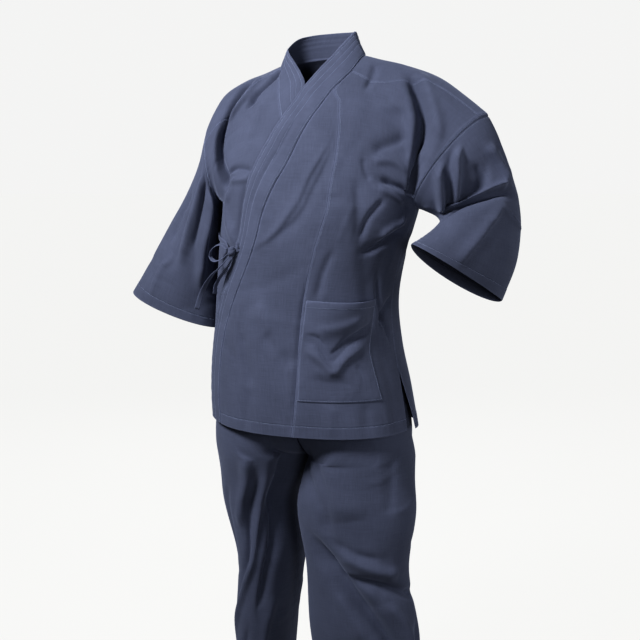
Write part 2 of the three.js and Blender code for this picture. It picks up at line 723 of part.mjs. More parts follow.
function legPlain(side, z, turn) {
  const section = legSection(side, z);
  const apart = 1.1 * step(-700, -790, z);
  const reach = section.mid === null ? -1 : (side * (section.mid - section.cx) + apart) / section.a;
  const end = Math.acos(clamp(reach, -1, 1));
  const angle = lerp(-end, end, turn);
  const sin = Math.sin(angle);
  const depth = sin < 0 ? section.front : section.back;
  return [section.cx + side * section.a * Math.cos(angle), section.cy + depth * sin, z];
}

function legPoint(side, folds, z, turn) {
  const point = legPlain(side, z, turn);
  const q = (WAIST_TOP - WAIST_HEIGHT - z) / (WAIST_TOP - WAIST_HEIGHT - TROUSER_HEM);
  const fade = step(0.0, 0.05, turn) * step(0.0, 0.05, 1 - turn);
  const shift = fade * foldShift(folds, q, turn, 900, 580, ["q0", "p0", "q1", "p1"]);
  const centre = legSection(side, z);
  const n = unit([point[0] - centre.cx, point[1] - centre.cy, 0]);
  return add(point, scale(n, shift));
}

function legLevel(j) {
  const top = WAIST_TOP - WAIST_HEIGHT;
  if (j <= ROWS_LEG_TOP) {
    return lerp(top, CROTCH, (j / ROWS_LEG_TOP) ** 0.8);
  }
  return lerp(CROTCH, TROUSER_HEM, (j - ROWS_LEG_TOP) / ROWS_LEG);
}

for (const [name, side, folds] of [["leg_left", 1, LEG_LEFT_FOLDS], ["leg_right", -1, LEG_RIGHT_FOLDS]]) {
  makeSheet(name, "trousers", [COLS_LEG, ROWS_LEG_TOP + ROWS_LEG], (i, j) => {
    return legPoint(side, folds, legLevel(j), i / COLS_LEG);
  }, { flip: side > 0 });
}

makeSheet("waistband", "trousers", [2 * COLS_LEG, 2], (i, j) => {
  const side = i <= COLS_LEG ? 1 : -1;
  const turn = side > 0 ? i / COLS_LEG : 1 - (i - COLS_LEG) / COLS_LEG;
  const z = WAIST_TOP - (WAIST_HEIGHT * j) / 2;
  return legPlain(side, z, turn);
}, { closed: true, thickness: BAND_THICKNESS, flip: true });

// Where edges of panels meet, they share one direction through the cloth
function edgeList(sheet) {
  const list = [];
  for (let i = 0; i <= sheet.nu; i += 1) {
    for (let j = 0; j <= sheet.nv; j += 1) {
      const side = !sheet.closed && (i === 0 || i === sheet.nu);
      if (side || j === 0 || j === sheet.nv) {
        list.push({ sheet, i, j, p: sheet.points[i][j], n: sheet.normals[i][j] });
      }
    }
  }
  return list;
}

function shareNormals() {
  const edges = sheets.filter((sheet) => sheet.name !== "pocket").flatMap(edgeList);
  const shared = edges.map((edge) => {
    let sum = edge.n;
    for (const other of edges) {
      const near = other !== edge && Math.abs(other.p[2] - edge.p[2]) < 0.2;
      if (near && length(sub(other.p, edge.p)) < 0.2) {
        sum = add(sum, other.n);
      }
    }
    return unit(sum);
  });
  edges.forEach((edge, k) => {
    edge.sheet.normals[edge.i][edge.j] = shared[k];
    edge.sheet.stretch = edge.sheet.stretch ?? {};
    edge.sheet.stretch[`${edge.i},${edge.j}`] = clamp(1 / Math.max(dot(shared[k], edge.n), 0.3), 1, 1.5);
  });
}

shareNormals();

// Each edge draws back by half the seam gap
function insetPoints(sheet) {
  const { points, nu, nv, closed } = sheet;
  const move = (p, q) => add(p, scale(unit(sub(q, p)), SEAM_GAP / 2));
  return points.map((line, i) => line.map((p, j) => {
    let result = p;
    if (!closed && i === 0) {
      result = add(result, sub(move(p, points[1][j]), p));
    }
    if (!closed && i === nu) {
      result = add(result, sub(move(p, points[nu - 1][j]), p));
    }
    if (j === 0) {
      result = add(result, sub(move(p, line[1]), p));
    }
    if (j === nv) {
      result = add(result, sub(move(p, line[nv - 1]), p));
    }
    return result;
  }));
}

function wall(sheet) {
  const { nu, nv, closed } = sheet;
  const points = insetPoints(sheet);
  const cols = closed ? nu : nu + 1;
  const verts = [];
  const index = (i, j, layer) => ((closed ? i % nu : i) * (nv + 1) + j) * 2 + layer;
  for (let i = 0; i < cols; i += 1) {
    for (let j = 0; j <= nv; j += 1) {
      const stretch = sheet.stretch?.[`${i},${j}`] ?? 1;
      const half = scale(sheet.normals[i][j], (sheet.thickness / 2) * stretch);
      verts.push(add(points[i][j], half), sub(points[i][j], half));
    }
  }
  const faces = [];
  const quad = (a, b, c, d) => {
    if (sheet.flip) {
      faces.push([a, d, c], [a, c, b]);
    } else {
      faces.push([a, b, c], [a, c, d]);
    }
  };
  for (let i = 0; i < nu; i += 1) {
    for (let j = 0; j < nv; j += 1) {
      quad(index(i, j, 0), index(i + 1, j, 0), index(i + 1, j + 1, 0), index(i, j + 1, 0));
      quad(index(i, j, 1), index(i, j + 1, 1), index(i + 1, j + 1, 1), index(i + 1, j, 1));
    }
  }
  for (let i = 0; i < nu; i += 1) {
    quad(index(i, 0, 0), index(i, 0, 1), index(i + 1, 0, 1), index(i + 1, 0, 0));
    quad(index(i, nv, 0), index(i + 1, nv, 0), index(i + 1, nv, 1), index(i, nv, 1));
  }
  if (!closed) {
    for (let j = 0; j < nv; j += 1) {
      quad(index(0, j, 0), index(0, j + 1, 0), index(0, j + 1, 1), index(0, j, 1));
      quad(index(nu, j, 0), index(nu, j, 1), index(nu, j + 1, 1), index(nu, j + 1, 0));
    }
  }
  return meshOf(sheet.name, verts, faces, sheet.finish);
}

function meshOf(name, verts, faces, finish) {
  const geometry = new THREE.BufferGeometry();
  geometry.setAttribute("position", new THREE.Float32BufferAttribute(verts.flat(), 3));
  geometry.setIndex(faces.flat());
  geometry.computeVertexNormals();
  const material = new THREE.MeshStandardMaterial({ color: finish.color, roughness: finish.roughness, metalness: 0 });
  const mesh = new THREE.Mesh(geometry, material);
  mesh.name = name;
  return mesh;
}

// Ties: flat tapes of folded cloth, swept along a few named points
const TIE_WIDTH = 11;
const TIE_THICKNESS = 2.4;

function curvePoint(path, u) {
  const x = clamp(u, 0, 1) * (path.length - 1);
  const i = Math.min(Math.floor(x), path.length - 2);
  const w = x - i;
  const p0 = path[Math.max(i - 1, 0)];
  const p1 = path[i];
  const p2 = path[i + 1];
  const p3 = path[Math.min(i + 2, path.length - 1)];
  return [0, 1, 2].map((k) => 0.5 * (2 * p1[k] + (p2[k] - p0[k]) * w
    + (2 * p0[k] - 5 * p1[k] + 4 * p2[k] - p3[k]) * w * w
    + (3 * p1[k] - p0[k] - 3 * p2[k] + p3[k]) * w * w * w));
}

function tape(name, path, faceStart, faceEnd, count) {
  const verts = [];
  const faces = [];
  for (let k = 0; k <= count; k += 1) {
    const u = k / count;
    const p = curvePoint(path, u);
    const along = unit(sub(curvePoint(path, Math.min(u + 0.01, 1)), curvePoint(path, Math.max(u - 0.01, 0))));
    const wanted = mix(faceStart, faceEnd, u);
    const across = unit(cross(along, wanted));
    const face = unit(cross(across, along));
    const w = scale(across, TIE_WIDTH / 2);
    const h = scale(face, TIE_THICKNESS / 2);
    verts.push(add(add(p, w), h), add(sub(p, w), h), sub(sub(p, w), h), sub(add(p, w), h));
  }
  for (let k = 0; k < count; k += 1) {
    for (let c = 0; c < 4; c += 1) {
      const a = k * 4 + c;
      const b = k * 4 + ((c + 1) % 4);
      faces.push([a, b + 4, b], [a, a + 4, b + 4]);
    }
  }
  const end = count * 4;
  faces.push([0, 1, 2], [0, 2, 3], [end, end + 2, end + 1], [end, end + 3, end + 2]);
  return meshOf(name, verts, faces, COTTON_TIE);
}

function knot(name, centre, radii, tilt) {
  const verts = [];
  const faces = [];
  const rings = 8;
  const turns = 14;
  for (let k = 1; k < rings; k += 1) {
    const lat = (Math.PI * k) / rings;
    for (let c = 0; c < turns; c += 1) {
      const lon = (2 * Math.PI * c) / turns;
      const pinch = 1 - 0.16 * Math.cos(2 * lon + 3 * lat) ** 2;
      const x = radii[0] * Math.sin(lat) * Math.cos(lon) * pinch;
      const y = radii[1] * Math.sin(lat) * Math.sin(lon) * pinch;
      const z = radii[2] * Math.cos(lat);
      verts.push(add(centre, [x * Math.cos(tilt) + z * Math.sin(tilt), y, z * Math.cos(tilt) - x * Math.sin(tilt)]));
    }
  }
  const top = verts.length;
  verts.push(add(centre, [radii[2] * Math.sin(tilt), 0, radii[2] * Math.cos(tilt)]));
  verts.push(add(centre, [-radii[2] * Math.sin(tilt), 0, -radii[2] * Math.cos(tilt)]));
  for (let c = 0; c < turns; c += 1) {
    const d = (c + 1) % turns;
    faces.push([top, c, d]);
    faces.push([top + 1, (rings - 2) * turns + d, (rings - 2) * turns + c]);
    for (let k = 0; k < rings - 2; k += 1) {
      const a = k * turns;
      faces.push([a + c, a + turns + c, a + turns + d], [a + c, a + turns + d, a + d]);
    }
  }
  return meshOf(name, verts, faces, COTTON_TIE);
}

// The bow at the right hip
const ties = new THREE.Group();
ties.name = "ties";
const KNOT = [-141, -134, -391];
const BOW_LOOP = [
  [-148.2, -134, -386.7],
  [-163, -128, -379],
  [-180, -119, -381],
  [-195, -112, -391],
  [-197, -113, -405],
  [-184, -120, -413],
  [-167, -125, -408],
  [-149.5, -130.5, -396],
];
const LONG_TAIL = [
  [-144.8, -136.7, -401.3],
  [-163, -139, -422],
  [-184, -131, -439],
  [-203, -122, -460],
  [-218, -115, -484],
  [-230, -111, -514],
];
const SHORT_TAIL = [
  [-139.3, -131.6, -403.2],
  [-153, -126, -424],
  [-172, -119, -444],
  [-184, -116, -463],
  [-187, -115, -481],
];
const sideStrap = [[-0.93, 1.15], [-0.8, 1.16], [-0.68, 1.17], [-0.58, 1.18]].map(([s, t]) => body(s, t, 1, 3.4));
sideStrap.push([-155, -116.9, -390.8], [-146.5, -128.4, -390.3]);
const edgeStrap = [
  add(frontOver(-0.385, 1.165), [-1, -3.3, 0]),
  [-127, -128.9, -385],
  [-132.4, -131.7, -388.4],
];
ties.add(
  knot("tie_knot", KNOT, [8, 7, 10.5], 0.35),
  tape("tie_bow_loop", BOW_LOOP, [0.3, -0.6, 0.7], [0.2, -0.9, 0.3], 28),
  tape("tie_tail_long", LONG_TAIL, [-0.2, -0.95, 0.3], [0.35, -0.9, 0.1], 20),
  tape("tie_tail_short", SHORT_TAIL, [-0.3, -0.9, 0.2], [-0.6, -0.8, 0], 16),
  tape("tie_side_strap", sideStrap, [-0.95, -0.25, 0], [-0.5, -0.85, 0], 16),
  tape("tie_edge_strap", edgeStrap, [-0.4, -0.9, 0], [-0.4, -0.9, 0], 4),
);

const group = new THREE.Group();
group.name = "samue";
const jacket = new THREE.Group();
jacket.name = "jacket";
const trousers = new THREE.Group();
trousers.name = "trousers";
for (const sheet of sheets) {
  (sheet.group === "jacket" ? jacket : trousers).add(wall(sheet));
}
jacket.add(ties);
group.add(jacket, trousers);

export default group;
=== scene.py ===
# %% [markdown]
# # A samue in slate-blue cotton
# A samue is a working suit of two garments: a jacket that wraps over in front and closes with
# ties, and loose trousers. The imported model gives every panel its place. Here each panel is made
# again as thin cloth with creases, hems and stitches, and each one takes its solid's place.

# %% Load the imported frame
import math
import bpy
import numpy as np
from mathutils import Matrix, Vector


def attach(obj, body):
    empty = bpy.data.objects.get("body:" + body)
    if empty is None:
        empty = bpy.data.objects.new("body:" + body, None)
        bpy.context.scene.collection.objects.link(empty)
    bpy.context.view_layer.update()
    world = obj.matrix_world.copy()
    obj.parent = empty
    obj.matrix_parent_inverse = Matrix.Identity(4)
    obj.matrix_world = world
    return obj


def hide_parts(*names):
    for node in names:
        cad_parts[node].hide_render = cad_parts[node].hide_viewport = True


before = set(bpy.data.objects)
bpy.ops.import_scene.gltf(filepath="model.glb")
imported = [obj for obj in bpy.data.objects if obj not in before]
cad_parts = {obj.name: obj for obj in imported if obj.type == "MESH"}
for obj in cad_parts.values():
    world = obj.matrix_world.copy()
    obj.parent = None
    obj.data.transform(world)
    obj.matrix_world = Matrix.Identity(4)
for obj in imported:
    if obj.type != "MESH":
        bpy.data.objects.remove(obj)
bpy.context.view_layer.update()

print("frame with", len(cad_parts), "nodes")

# %% [markdown]
# ## Camera
# A long lens from a little to the jacket's left and a little above the waist. The same view could
# be had nearer with a shorter lens, but then the near sleeve would look too large.

# %% Camera
AIM = Vector((0, 0, -0.54))
AZIMUTH, ELEVATION, DISTANCE = math.radians(20), math.radians(7), 2.8

def direction(azimuth, elevation):
    """The way out to these angles in radians. Azimuth 0 is in front; +X is at 90 degrees."""
    flat = math.cos(elevation)
    return Vector((math.sin(azimuth)*flat, -math.cos(azimuth)*flat, math.sin(elevation)))

camera_data = bpy.data.cameras.new("camera")
camera_data.lens = 75.6
camera_data.sensor_width = 36
camera = bpy.data.objects.new("camera", camera_data)
camera.location = AIM + DISTANCE*direction(AZIMUTH, ELEVATION)
camera.rotation_euler = (AIM - camera.location).to_track_quat("-Z", "Y").to_euler()
bpy.context.scene.collection.objects.link(camera)
bpy.context.scene.camera = camera
print("camera at", [round(x, 3) for x in camera.location])

# %% [markdown]
# ## Tables and smooth readings
# The garment's form is held in short tables, a row for each level or section, in millimetres.
# A curve through a table's rows is read with soft tangents, so few rows give a smooth form.

# %% Reading a table
MM = 0.001

def table(names, *rows):
    return {name: np.array([row[i] for row in rows], float) for i, name in enumerate(names.split())}

def at(tab, key, column, value):
    """Smooth reading of a column at a value of the key column."""
    keys, vals = tab[key], tab[column]
    if keys[0] > keys[-1]:
        keys, vals = keys[::-1], vals[::-1]
    slope = np.diff(vals)/np.diff(keys)
    tangent = np.concatenate([slope[:1], (slope[:-1] + slope[1:])/2, slope[-1:]])
    x = np.clip(np.asarray(value, float), keys[0], keys[-1])
    i = np.clip(np.searchsorted(keys, x, side="right") - 1, 0, len(keys) - 2)
    h = keys[i + 1] - keys[i]
    u = (x - keys[i])/h
    return ((2*u**3 - 3*u**2 + 1)*vals[i] + (u**3 - 2*u**2 + u)*h*tangent[i]
            + (3*u**2 - 2*u**3)*vals[i + 1] + (u**3 - u**2)*h*tangent[i + 1])

def point_at(tab, key, value, prefix=""):
    """Smooth reading of a point, from the columns x, y and z with this prefix."""
    return np.stack([at(tab, key, prefix + c, value) for c in "xyz"], -1)

def step(low, high, x):
    u = np.clip((np.asarray(x, float) - low)/(high - low), 0, 1)
    return u*u*(3 - 2*u)

def lerp(a, b, w):
    return a + (b - a)*w

def unit(v):
    return v/np.maximum(np.linalg.norm(v, axis=-1, keepdims=True), 1e-9)

# %% [markdown]
# ## The jacket's body as one shell
# All body panels are cut from one shell, so their seams meet. The share s runs from the right
# side seam (-1) to the left (1), and t from the shoulder line (0) by the armhole's foot (1) to the
# hem (2). Modelling the panels one by one would leave gaps at each seam.

# %% Body tables
TORSO = table("z cx cy a front back turn",
    [-830, -3, -4, 221, 158, 156, 12], [-760, -7, -4, 217, 156, 152, 12],
    [-670, -17, -4, 211, 152, 146, 11], [-580, -26, -2, 200, 146, 134, 10],
    [-490, -28, 0, 194, 142, 128, 9], [-390, -16, 2, 199, 144, 128, 7],
    [-300, 0, 6, 208, 146, 130, 5], [-250, 2, 8, 210, 142, 128, 5])
RIDGE = table("s x y z",
    [-1, -242, 5, -132], [-0.9, -228, 5, -102], [-0.78, -208, 6, -72], [-0.6, -165, 8, -46],
    [-0.45, -122, 9, -31], [-0.34, -86, 10, -17], [0, 2, 10, -4], [0.34, 91, 10, 0],
    [0.45, 124, 11, -8], [0.6, 178, 13, -21], [0.78, 252, 16, -49], [0.9, 306, 14, -87],
    [1, 345, 12, -118])
ARMHOLE = {1: dict(foot=(208, -12, -302), front=(-14, -58, 6), back=(-4, 62, 4)),
           -1: dict(foot=(-212, -14, -296), front=(2, -66, 0), back=(2, 68, 0))}
ARM_LEVEL = table("s z", [-1, -296], [0, -300], [1, -302])
HEM = table("s front back",
    [-1, -732, -732], [-0.6, -750, -742], [0, -757, -746], [0.6, -757, -750], [1, -751, -751])
NECK_SHARE = 0.34

# %% The shell itself
def torso(degrees, z):
    a = np.radians(degrees)
    soft = lambda x: np.sign(x)*np.abs(x)**0.92
    depth = np.where(np.cos(a) > 0, at(TORSO, "z", "front", z), at(TORSO, "z", "back", z))
    return np.stack([at(TORSO, "z", "cx", z) + at(TORSO, "z", "a", z)*soft(np.sin(a)),
                     at(TORSO, "z", "cy", z) - depth*soft(np.cos(a)), z + 0*a], -1)

def side_angle(s, z, face):
    turn = at(TORSO, "z", "turn", z)
    return s*(90 - turn) if face > 0 else 180 - s*(90 + turn)

def shell(s, t, face=1):
    """Points of the body's shell, in front (face 1) or behind (face -1)."""
    s, t = np.broadcast_arrays(np.asarray(s, float), np.asarray(t, float))
    key = "front" if face > 0 else "back"
    of_arm = lambda what: np.where((s > 0)[..., None], ARMHOLE[1][what], ARMHOLE[-1][what])
    level = at(ARM_LEVEL, "s", "z", s)
    on_torso = torso(side_angle(s, level, face), level)
    foot = lerp(on_torso, of_arm("foot"), step(0.86, 1, np.abs(s))[..., None])
    v = np.clip(t - 1, 0, None)
    z = level + (at(HEM, "s", key, s) - level)*v
    low = torso(side_angle(s, z, face), z) + (foot - on_torso)*np.exp(-v/0.05)[..., None]
    top = point_at(RIDGE, "s", s)
    if face < 0:
        behind = np.clip(1 - (s/NECK_SHARE)**2, 0, 1)
        top = top + np.stack([0*s, 64*np.sqrt(behind), 4*behind], -1)
    u = np.clip(t, 0, 1)
    drop, out = 1 - np.cos(u*np.pi/2), np.sin(u*np.pi/2)
    share = np.stack([0.6*drop + 0.4*u, 0.62*out + 0.38*u, 0.75*drop + 0.25*u], -1)
    ring = ((top + foot)/2 + (top - foot)/2*np.cos(np.pi*u)[..., None]
            + of_arm(key)*np.sin(np.pi*u)[..., None])
    high = lerp(top + (foot - top)*share, ring, step(0.45, 1, np.abs(s))[..., None])
    return np.where((t <= 1)[..., None], high, low)

def facing(fn, a, b, sign, e=0.004):
    """The direction out of the cloth at each point of a form fn(a, b)."""
    return unit(np.cross(fn(a + e, b) - fn(a - e, b), fn(a, b + e) - fn(a, b - e))*sign)

print("chest depth", round(float(np.ptp([shell(0, 1)[1], shell(0, 1, -1)[1]]))), "mm")

# %% [markdown]
# ## Creases placed one by one
# Cotton shows where it is pulled, folded and crushed. A cloth simulation would put its folds where
# it likes, so each main crease is a line of its own: its depth, how wide it is on either side of
# the line, and two to eight points. Two widths give one sharp and one soft flank, as a fold has.

# %% Soft troughs and ridges
def smooth_line(points, count=14):
    """A line drawn softly through a few points."""
    p = np.array(points, float)
    p = np.vstack([2*p[0] - p[1], p, 2*p[-1] - p[-2]])
    x = np.linspace(0, len(points) - 1, count)
    i = np.minimum(x.astype(int), len(points) - 2)
    w = (x - i)[:, None]
    a, b, c, d = p[i], p[i + 1], p[i + 2], p[i + 3]
    return 0.5*(2*b + (c - a)*w + (2*a - 5*b + 4*c - d)*w**2 + (3*b - a - 3*c + d)*w**3)

def crease_height(rows, a, b, scale):
    """Height of all creases at (a, b): rows of depth, width before the line, width behind it, points."""
    height = np.zeros(np.broadcast(a, b).shape)
    for depth, before, behind, points in rows:
        line = smooth_line(points)*scale
        span = np.linalg.norm(np.diff(line, axis=0), axis=1)
        run = np.concatenate([[0], np.cumsum(span)])
        pa, pb = a*scale[0], b*scale[1]
        best = np.full(height.shape, 1e9)
        share, side = np.zeros(height.shape), np.zeros(height.shape)
        for k in range(len(span)):
            d = line[k + 1] - line[k]
            qa, qb = pa - line[k, 0], pb - line[k, 1]
            v = np.clip((qa*d[0] + qb*d[1])/span[k]**2, 0, 1)
            gap = np.hypot(qa - d[0]*v, qb - d[1]*v)
            near = gap < best
            best = np.where(near, gap, best)
            share = np.where(near, (run[k] + v*span[k])/run[-1], share)
            side = np.where(near, d[0]*qb - d[1]*qa, side)
        width = lerp(before, behind, step(-0.5, 0.5, -side/(np.abs(side).max() + 1e-9)*40))
        ends = step(0, 0.28, share + 0.08)*step(0, 0.28, 1.08 - share)
        height += depth*np.exp(-(best/width)**2)*ends
    return height

def small_creases(seed, count, a_range, b_range, scale, depth):
    """Many long, shallow creases, scattered with a fixed seed and never two alike."""
    rng = np.random.default_rng(seed)
    rows = []
    for _ in range(count):
        centre = np.array([rng.uniform(*a_range), rng.uniform(*b_range)])
        turn = rng.uniform(0, np.pi)
        half = np.array([np.cos(turn), np.sin(turn)])*rng.uniform(50, 150)/2/scale
        bend = np.array([-np.sin(turn), np.cos(turn)])*rng.uniform(-14, 14)/scale
        wide = rng.uniform(5, 15)
        rows.append((rng.uniform(0.4, 1)*depth*rng.choice([-1, 1]), wide, wide*rng.uniform(0.6, 1.5),
                     [centre - half, centre + bend, centre + half]))
    return rows

# %% Creases of the jacket's front, as (s, t)
BODY_SCALE = np.array([285.0, 400.0])
FRONT_CREASES = [
    (-30, 11, 19, [(0.67, 0.15), (0.7, 0.245), (0.765, 0.35), (0.81, 0.415), (0.845, 0.53),
                   (0.885, 0.64), (0.94, 0.79)]),
    (-9, 5, 6, [(0.76, 0.34), (0.81, 0.43), (0.85, 0.54), (0.885, 0.65)]),
    (-9, 34, 16, [(0.625, 0.42), (0.685, 0.49), (0.73, 0.565), (0.76, 0.645)]),
    (10, 12, 11, [(0.69, 0.08), (0.76, 0.22), (0.865, 0.34), (0.94, 0.42)]),
    (-8, 7, 12, [(0.5, 0.735), (0.63, 0.64), (0.735, 0.54)]),
    (7, 8, 9, [(0.5, 0.78), (0.68, 0.71), (0.82, 0.69)]),
    (-6, 5, 8, [(0.44, 0.11), (0.435, 0.255), (0.41, 0.38)]),
    (-4, 5, 8, [(0.425, 0.77), (0.445, 0.83), (0.48, 0.875)]),
    (-13, 5, 10, [(0.56, 0.86), (0.7, 0.845), (0.835, 0.81), (0.955, 0.8)]),
    (7, 10, 8, [(0.545, 0.9), (0.675, 0.9), (0.82, 0.925)]),
    (-6, 6, 9, [(0.6, 0.955), (0.515, 1.015), (0.485, 1.055), (0.475, 1.135)]),
    (-12, 10, 6, [(0.93, 1.1), (0.755, 1.14), (0.63, 1.175), (0.52, 1.19)]),
    (8, 8, 9, [(0.88, 1.05), (0.75, 1.09), (0.64, 1.13)]),
    (3.5, 9, 4, [(0.185, 0.7), (0.13, 0.78), (0.065, 0.865), (0.025, 0.95), (-0.02, 1.02),
               (-0.075, 1.095), (-0.15, 1.15), (-0.26, 1.19)]),
    (-3, 5, 12, [(0.215, 0.74), (0.165, 0.83), (0.105, 0.92), (0.06, 1.0), (0.0, 1.075), (-0.1, 1.15)]),
    (-6, 10, 16, [(-0.325, 1.56), (-0.275, 1.68), (-0.225, 1.8)]),
    (-6, 12, 16, [(-0.11, 1.55), (-0.005, 1.635), (0.055, 1.7)]),
    (6, 16, 12, [(-0.17, 1.42), (-0.06, 1.555), (0.02, 1.65)]),
    (-7, 4, 7, [(-0.62, 0.8), (-0.535, 0.8), (-0.465, 0.81), (-0.35, 0.83)]),
    (6, 7, 7, [(-0.56, 0.865), (-0.44, 0.87), (-0.36, 0.865)]),
    (7, 12, 12, [(-0.56, 0.89), (-0.625, 1.005), (-0.57, 1.095), (-0.43, 1.17)]),
    (-6, 8, 12, [(-0.405, 0.9), (-0.425, 1.045), (-0.435, 1.155)]),
    (-12, 6, 10, [(-0.32, 0.08), (-0.38, 0.22), (-0.46, 0.315), (-0.495, 0.42)]),
    (8, 8, 9, [(-0.45, 0.1), (-0.515, 0.265), (-0.6, 0.37), (-0.68, 0.445)]),
    (-15, 9, 8, [(-0.545, 0.1), (-0.62, 0.24), (-0.68, 0.385), (-0.735, 0.47)]),
    (-24, 10, 14, [(-0.715, 0.4), (-0.755, 0.5), (-0.75, 0.63), (-0.71, 0.745), (-0.64, 0.88)]),
    (4, 14, 12, [(-0.375, 0.405), (-0.385, 0.54), (-0.405, 0.655)]),
    (-4, 9, 16, [(0.39, 0.86), (0.4, 1.01), (0.46, 1.14)]),
    (-4, 9, 9, [(0.3, 1.18), (0.255, 1.29), (0.235, 1.4)]),
    (-8, 6, 9, [(0.99, 1.4), (0.87, 1.455), (0.8, 1.53)]),
    (-7, 5, 8, [(0.72, 1.3), (0.78, 1.4), (0.86, 1.51), (0.93, 1.6)]),
    (-3.5, 4, 5, [(0.155, 1.3), (0.132, 1.46), (0.085, 1.7), (0.03, 1.95)]),
    (-3.5, 13, 16, [(-0.25, 1.8), (-0.28, 1.9), (-0.315, 1.99)]),
    (3.5, 16, 13, [(0.3, 1.85), (0.28, 1.92), (0.275, 1.99)]),
    (-3.5, 14, 14, [(0.56, 1.85), (0.55, 1.92), (0.55, 1.99)]),
]
BACK_CREASES = [
    (-13, 12, 16, [(-0.7, 0.45), (-0.76, 0.7), (-0.82, 0.95)]),
    (-13, 16, 12, [(0.64, 0.4), (0.74, 0.7), (0.8, 0.95)]),
    (6, 14, 14, [(0.5, 0.3), (0.6, 0.6), (0.66, 0.9)]),
    (6, 14, 14, [(-0.5, 0.32), (-0.6, 0.6), (-0.66, 0.9)]),
    (-5, 12, 20, [(-0.32, 1.05), (-0.22, 1.4), (-0.2, 1.75)]),
    (-5, 20, 12, [(0.36, 1.1), (0.28, 1.45), (0.24, 1.8)]),
    (4, 24, 24, [(0.05, 0.7), (0.02, 1.05), (0.05, 1.4)]),
    (-7, 7, 11, [(-0.85, 1.2), (-0.6, 1.27), (-0.4, 1.25)]),
    (-7, 11, 7, [(0.86, 1.16), (0.62, 1.25), (0.42, 1.24)]),
    (-6, 8, 10, [(-0.8, 1.42), (-0.55, 1.45), (-0.3, 1.4)]),
    (-5, 8, 8, [(0.75, 1.4), (0.5, 1.44), (0.3, 1.4)]),
    (-4, 6, 9, [(-0.45, 0.28), (-0.2, 0.36), (0.1, 0.35), (0.4, 0.26)]),
    (4, 12, 12, [(-0.6, 1.8), (-0.62, 1.9), (-0.64, 1.99)]),
    (-4, 14, 14, [(0.1, 1.75), (0.08, 1.87), (0.1, 1.99)]),
]
FRONT_CREASES += small_creases(3, 38, (-0.9, 0.95), (0.15, 1.9), BODY_SCALE, 1.5)
BACK_CREASES += small_creases(5, 40, (-0.95, 0.95), (0.05, 1.9), BODY_SCALE, 1.8)
print(len(FRONT_CREASES), "creases in front,", len(BACK_CREASES), "behind")

# %% Cloth of the body with its creases
WRAP_LIFT = 5.0
BAND_LEFT = table("t seam edgeT edge",
    [0, 0.34, 0, 0.2], [0.24, 0.29, 0.2, 0.05], [0.32, 0.235, 0.26, 0.01], [0.37, 0.19, 0.34, -0.04],
    [0.53, 0.08, 0.46, -0.1], [0.61, 0.025, 0.55, -0.165], [0.78, -0.06, 0.71, -0.268],
    [0.9, -0.14, 0.86, -0.355], [1.03, -0.205, 1.01, -0.395], [1.18, -0.24, 1.17, -0.42],
    [1.29, -0.3, 1.27, -0.485], [1.4, -0.38, 1.375, -0.575], [1.54, -0.485, 1.52, -0.69],
    [1.68, -0.555, 1.67, -0.755], [1.83, -0.595, 1.825, -0.79], [2, -0.61, 2, -0.8])
BAND_RIGHT = table("t seam edgeT edge",
    [0, -0.34, 0, -0.2], [0.06, -0.334, 0.05, -0.19], [0.22, -0.305, 0.2, -0.11],
    [0.31, -0.28, 0.3, -0.055], [0.42, -0.24, 0.4, -0.03], [0.53, -0.187, 0.5, 0.01],
    [0.75, -0.08, 0.71, 0.11], [1, 0.08, 0.97, 0.28], [1.2, 0.19, 1.18, 0.39],
    [1.5, 0.36, 1.485, 0.56], [1.75, 0.46, 1.745, 0.66], [2, 0.5, 2, 0.7])

def wrap_lift(s, t):
    """How far the left side stands off the right side that lies below it."""
    edge = at(BAND_RIGHT, "t", "edge", t)
    return WRAP_LIFT*(1 - step(edge + 0.03, edge + 0.17, s))

def body(s, t, face=1, lift=0.0):
    s, t = np.broadcast_arrays(np.asarray(s, float), np.asarray(t, float))
    fade = (1 - step(0.92, 0.995, np.abs(s)))*step(0.01, 0.1, t)
    rows = FRONT_CREASES if face > 0 else BACK_CREASES
    sway = 1.2*np.sin(7.1*s + 2.3*t)*np.sin(4.3*t - 1.9*s + 0.6)
    height = fade*(crease_height(rows, s, t, BODY_SCALE) + sway) + lift
    n = facing(lambda p, q: shell(p, q, face), np.clip(s, -0.99, 0.99), np.clip(t, 0.012, 1.99),
               -1 if face > 0 else 1)
    return shell(s, t, face) + n*height[..., None]

def over(s, t, lift=0.0):
    return body(s, t, 1, wrap_lift(s, t) + lift)

# %% [markdown]
# ## Cloth with two faces
# A panel is a grid of points in the middle of the cloth. Its two faces lie half a millimetre to
# either side, draw together at a seam and round off at a folded edge, and a hem is twice as thick.
# The Solidify modifier could do it too, but not with a thickness that changes at each edge.

# %% Spacing of a grid
EDGE_LINES = (0, 0.8, 2, 4)

def spaced(width, cells, first=EDGE_LINES, last=EDGE_LINES):
    """Places across a width in mm, one row for each width, closer together at both edges."""
    width = np.atleast_1d(np.asarray(width, float))[:, None]
    inner = np.linspace(0, 1, cells + 1)[1:-1][None]
    start, end = np.array(first, float)[None], np.array(last, float)[::-1][None]
    middle = start[:, -1:] + (width - start[:, -1:] - end[:, :1])*inner
    return np.concatenate([start + 0*width, middle, width - end], axis=1)

def grid_normals(points):
    return unit(np.cross(*np.gradient(points, axis=(0, 1))))

def lengths(points):
    """Run of length along the second axis of a grid of points, in mm."""
    d = np.linalg.norm(np.diff(points, axis=1), axis=-1)
    return np.concatenate([np.zeros((len(points), 1)), np.cumsum(d, axis=1)], axis=1)

# %% A mesh in the scene
def add_object(name, data):
    made = bpy.data.objects.new(name, data)
    bpy.context.scene.collection.objects.link(made)
    return made

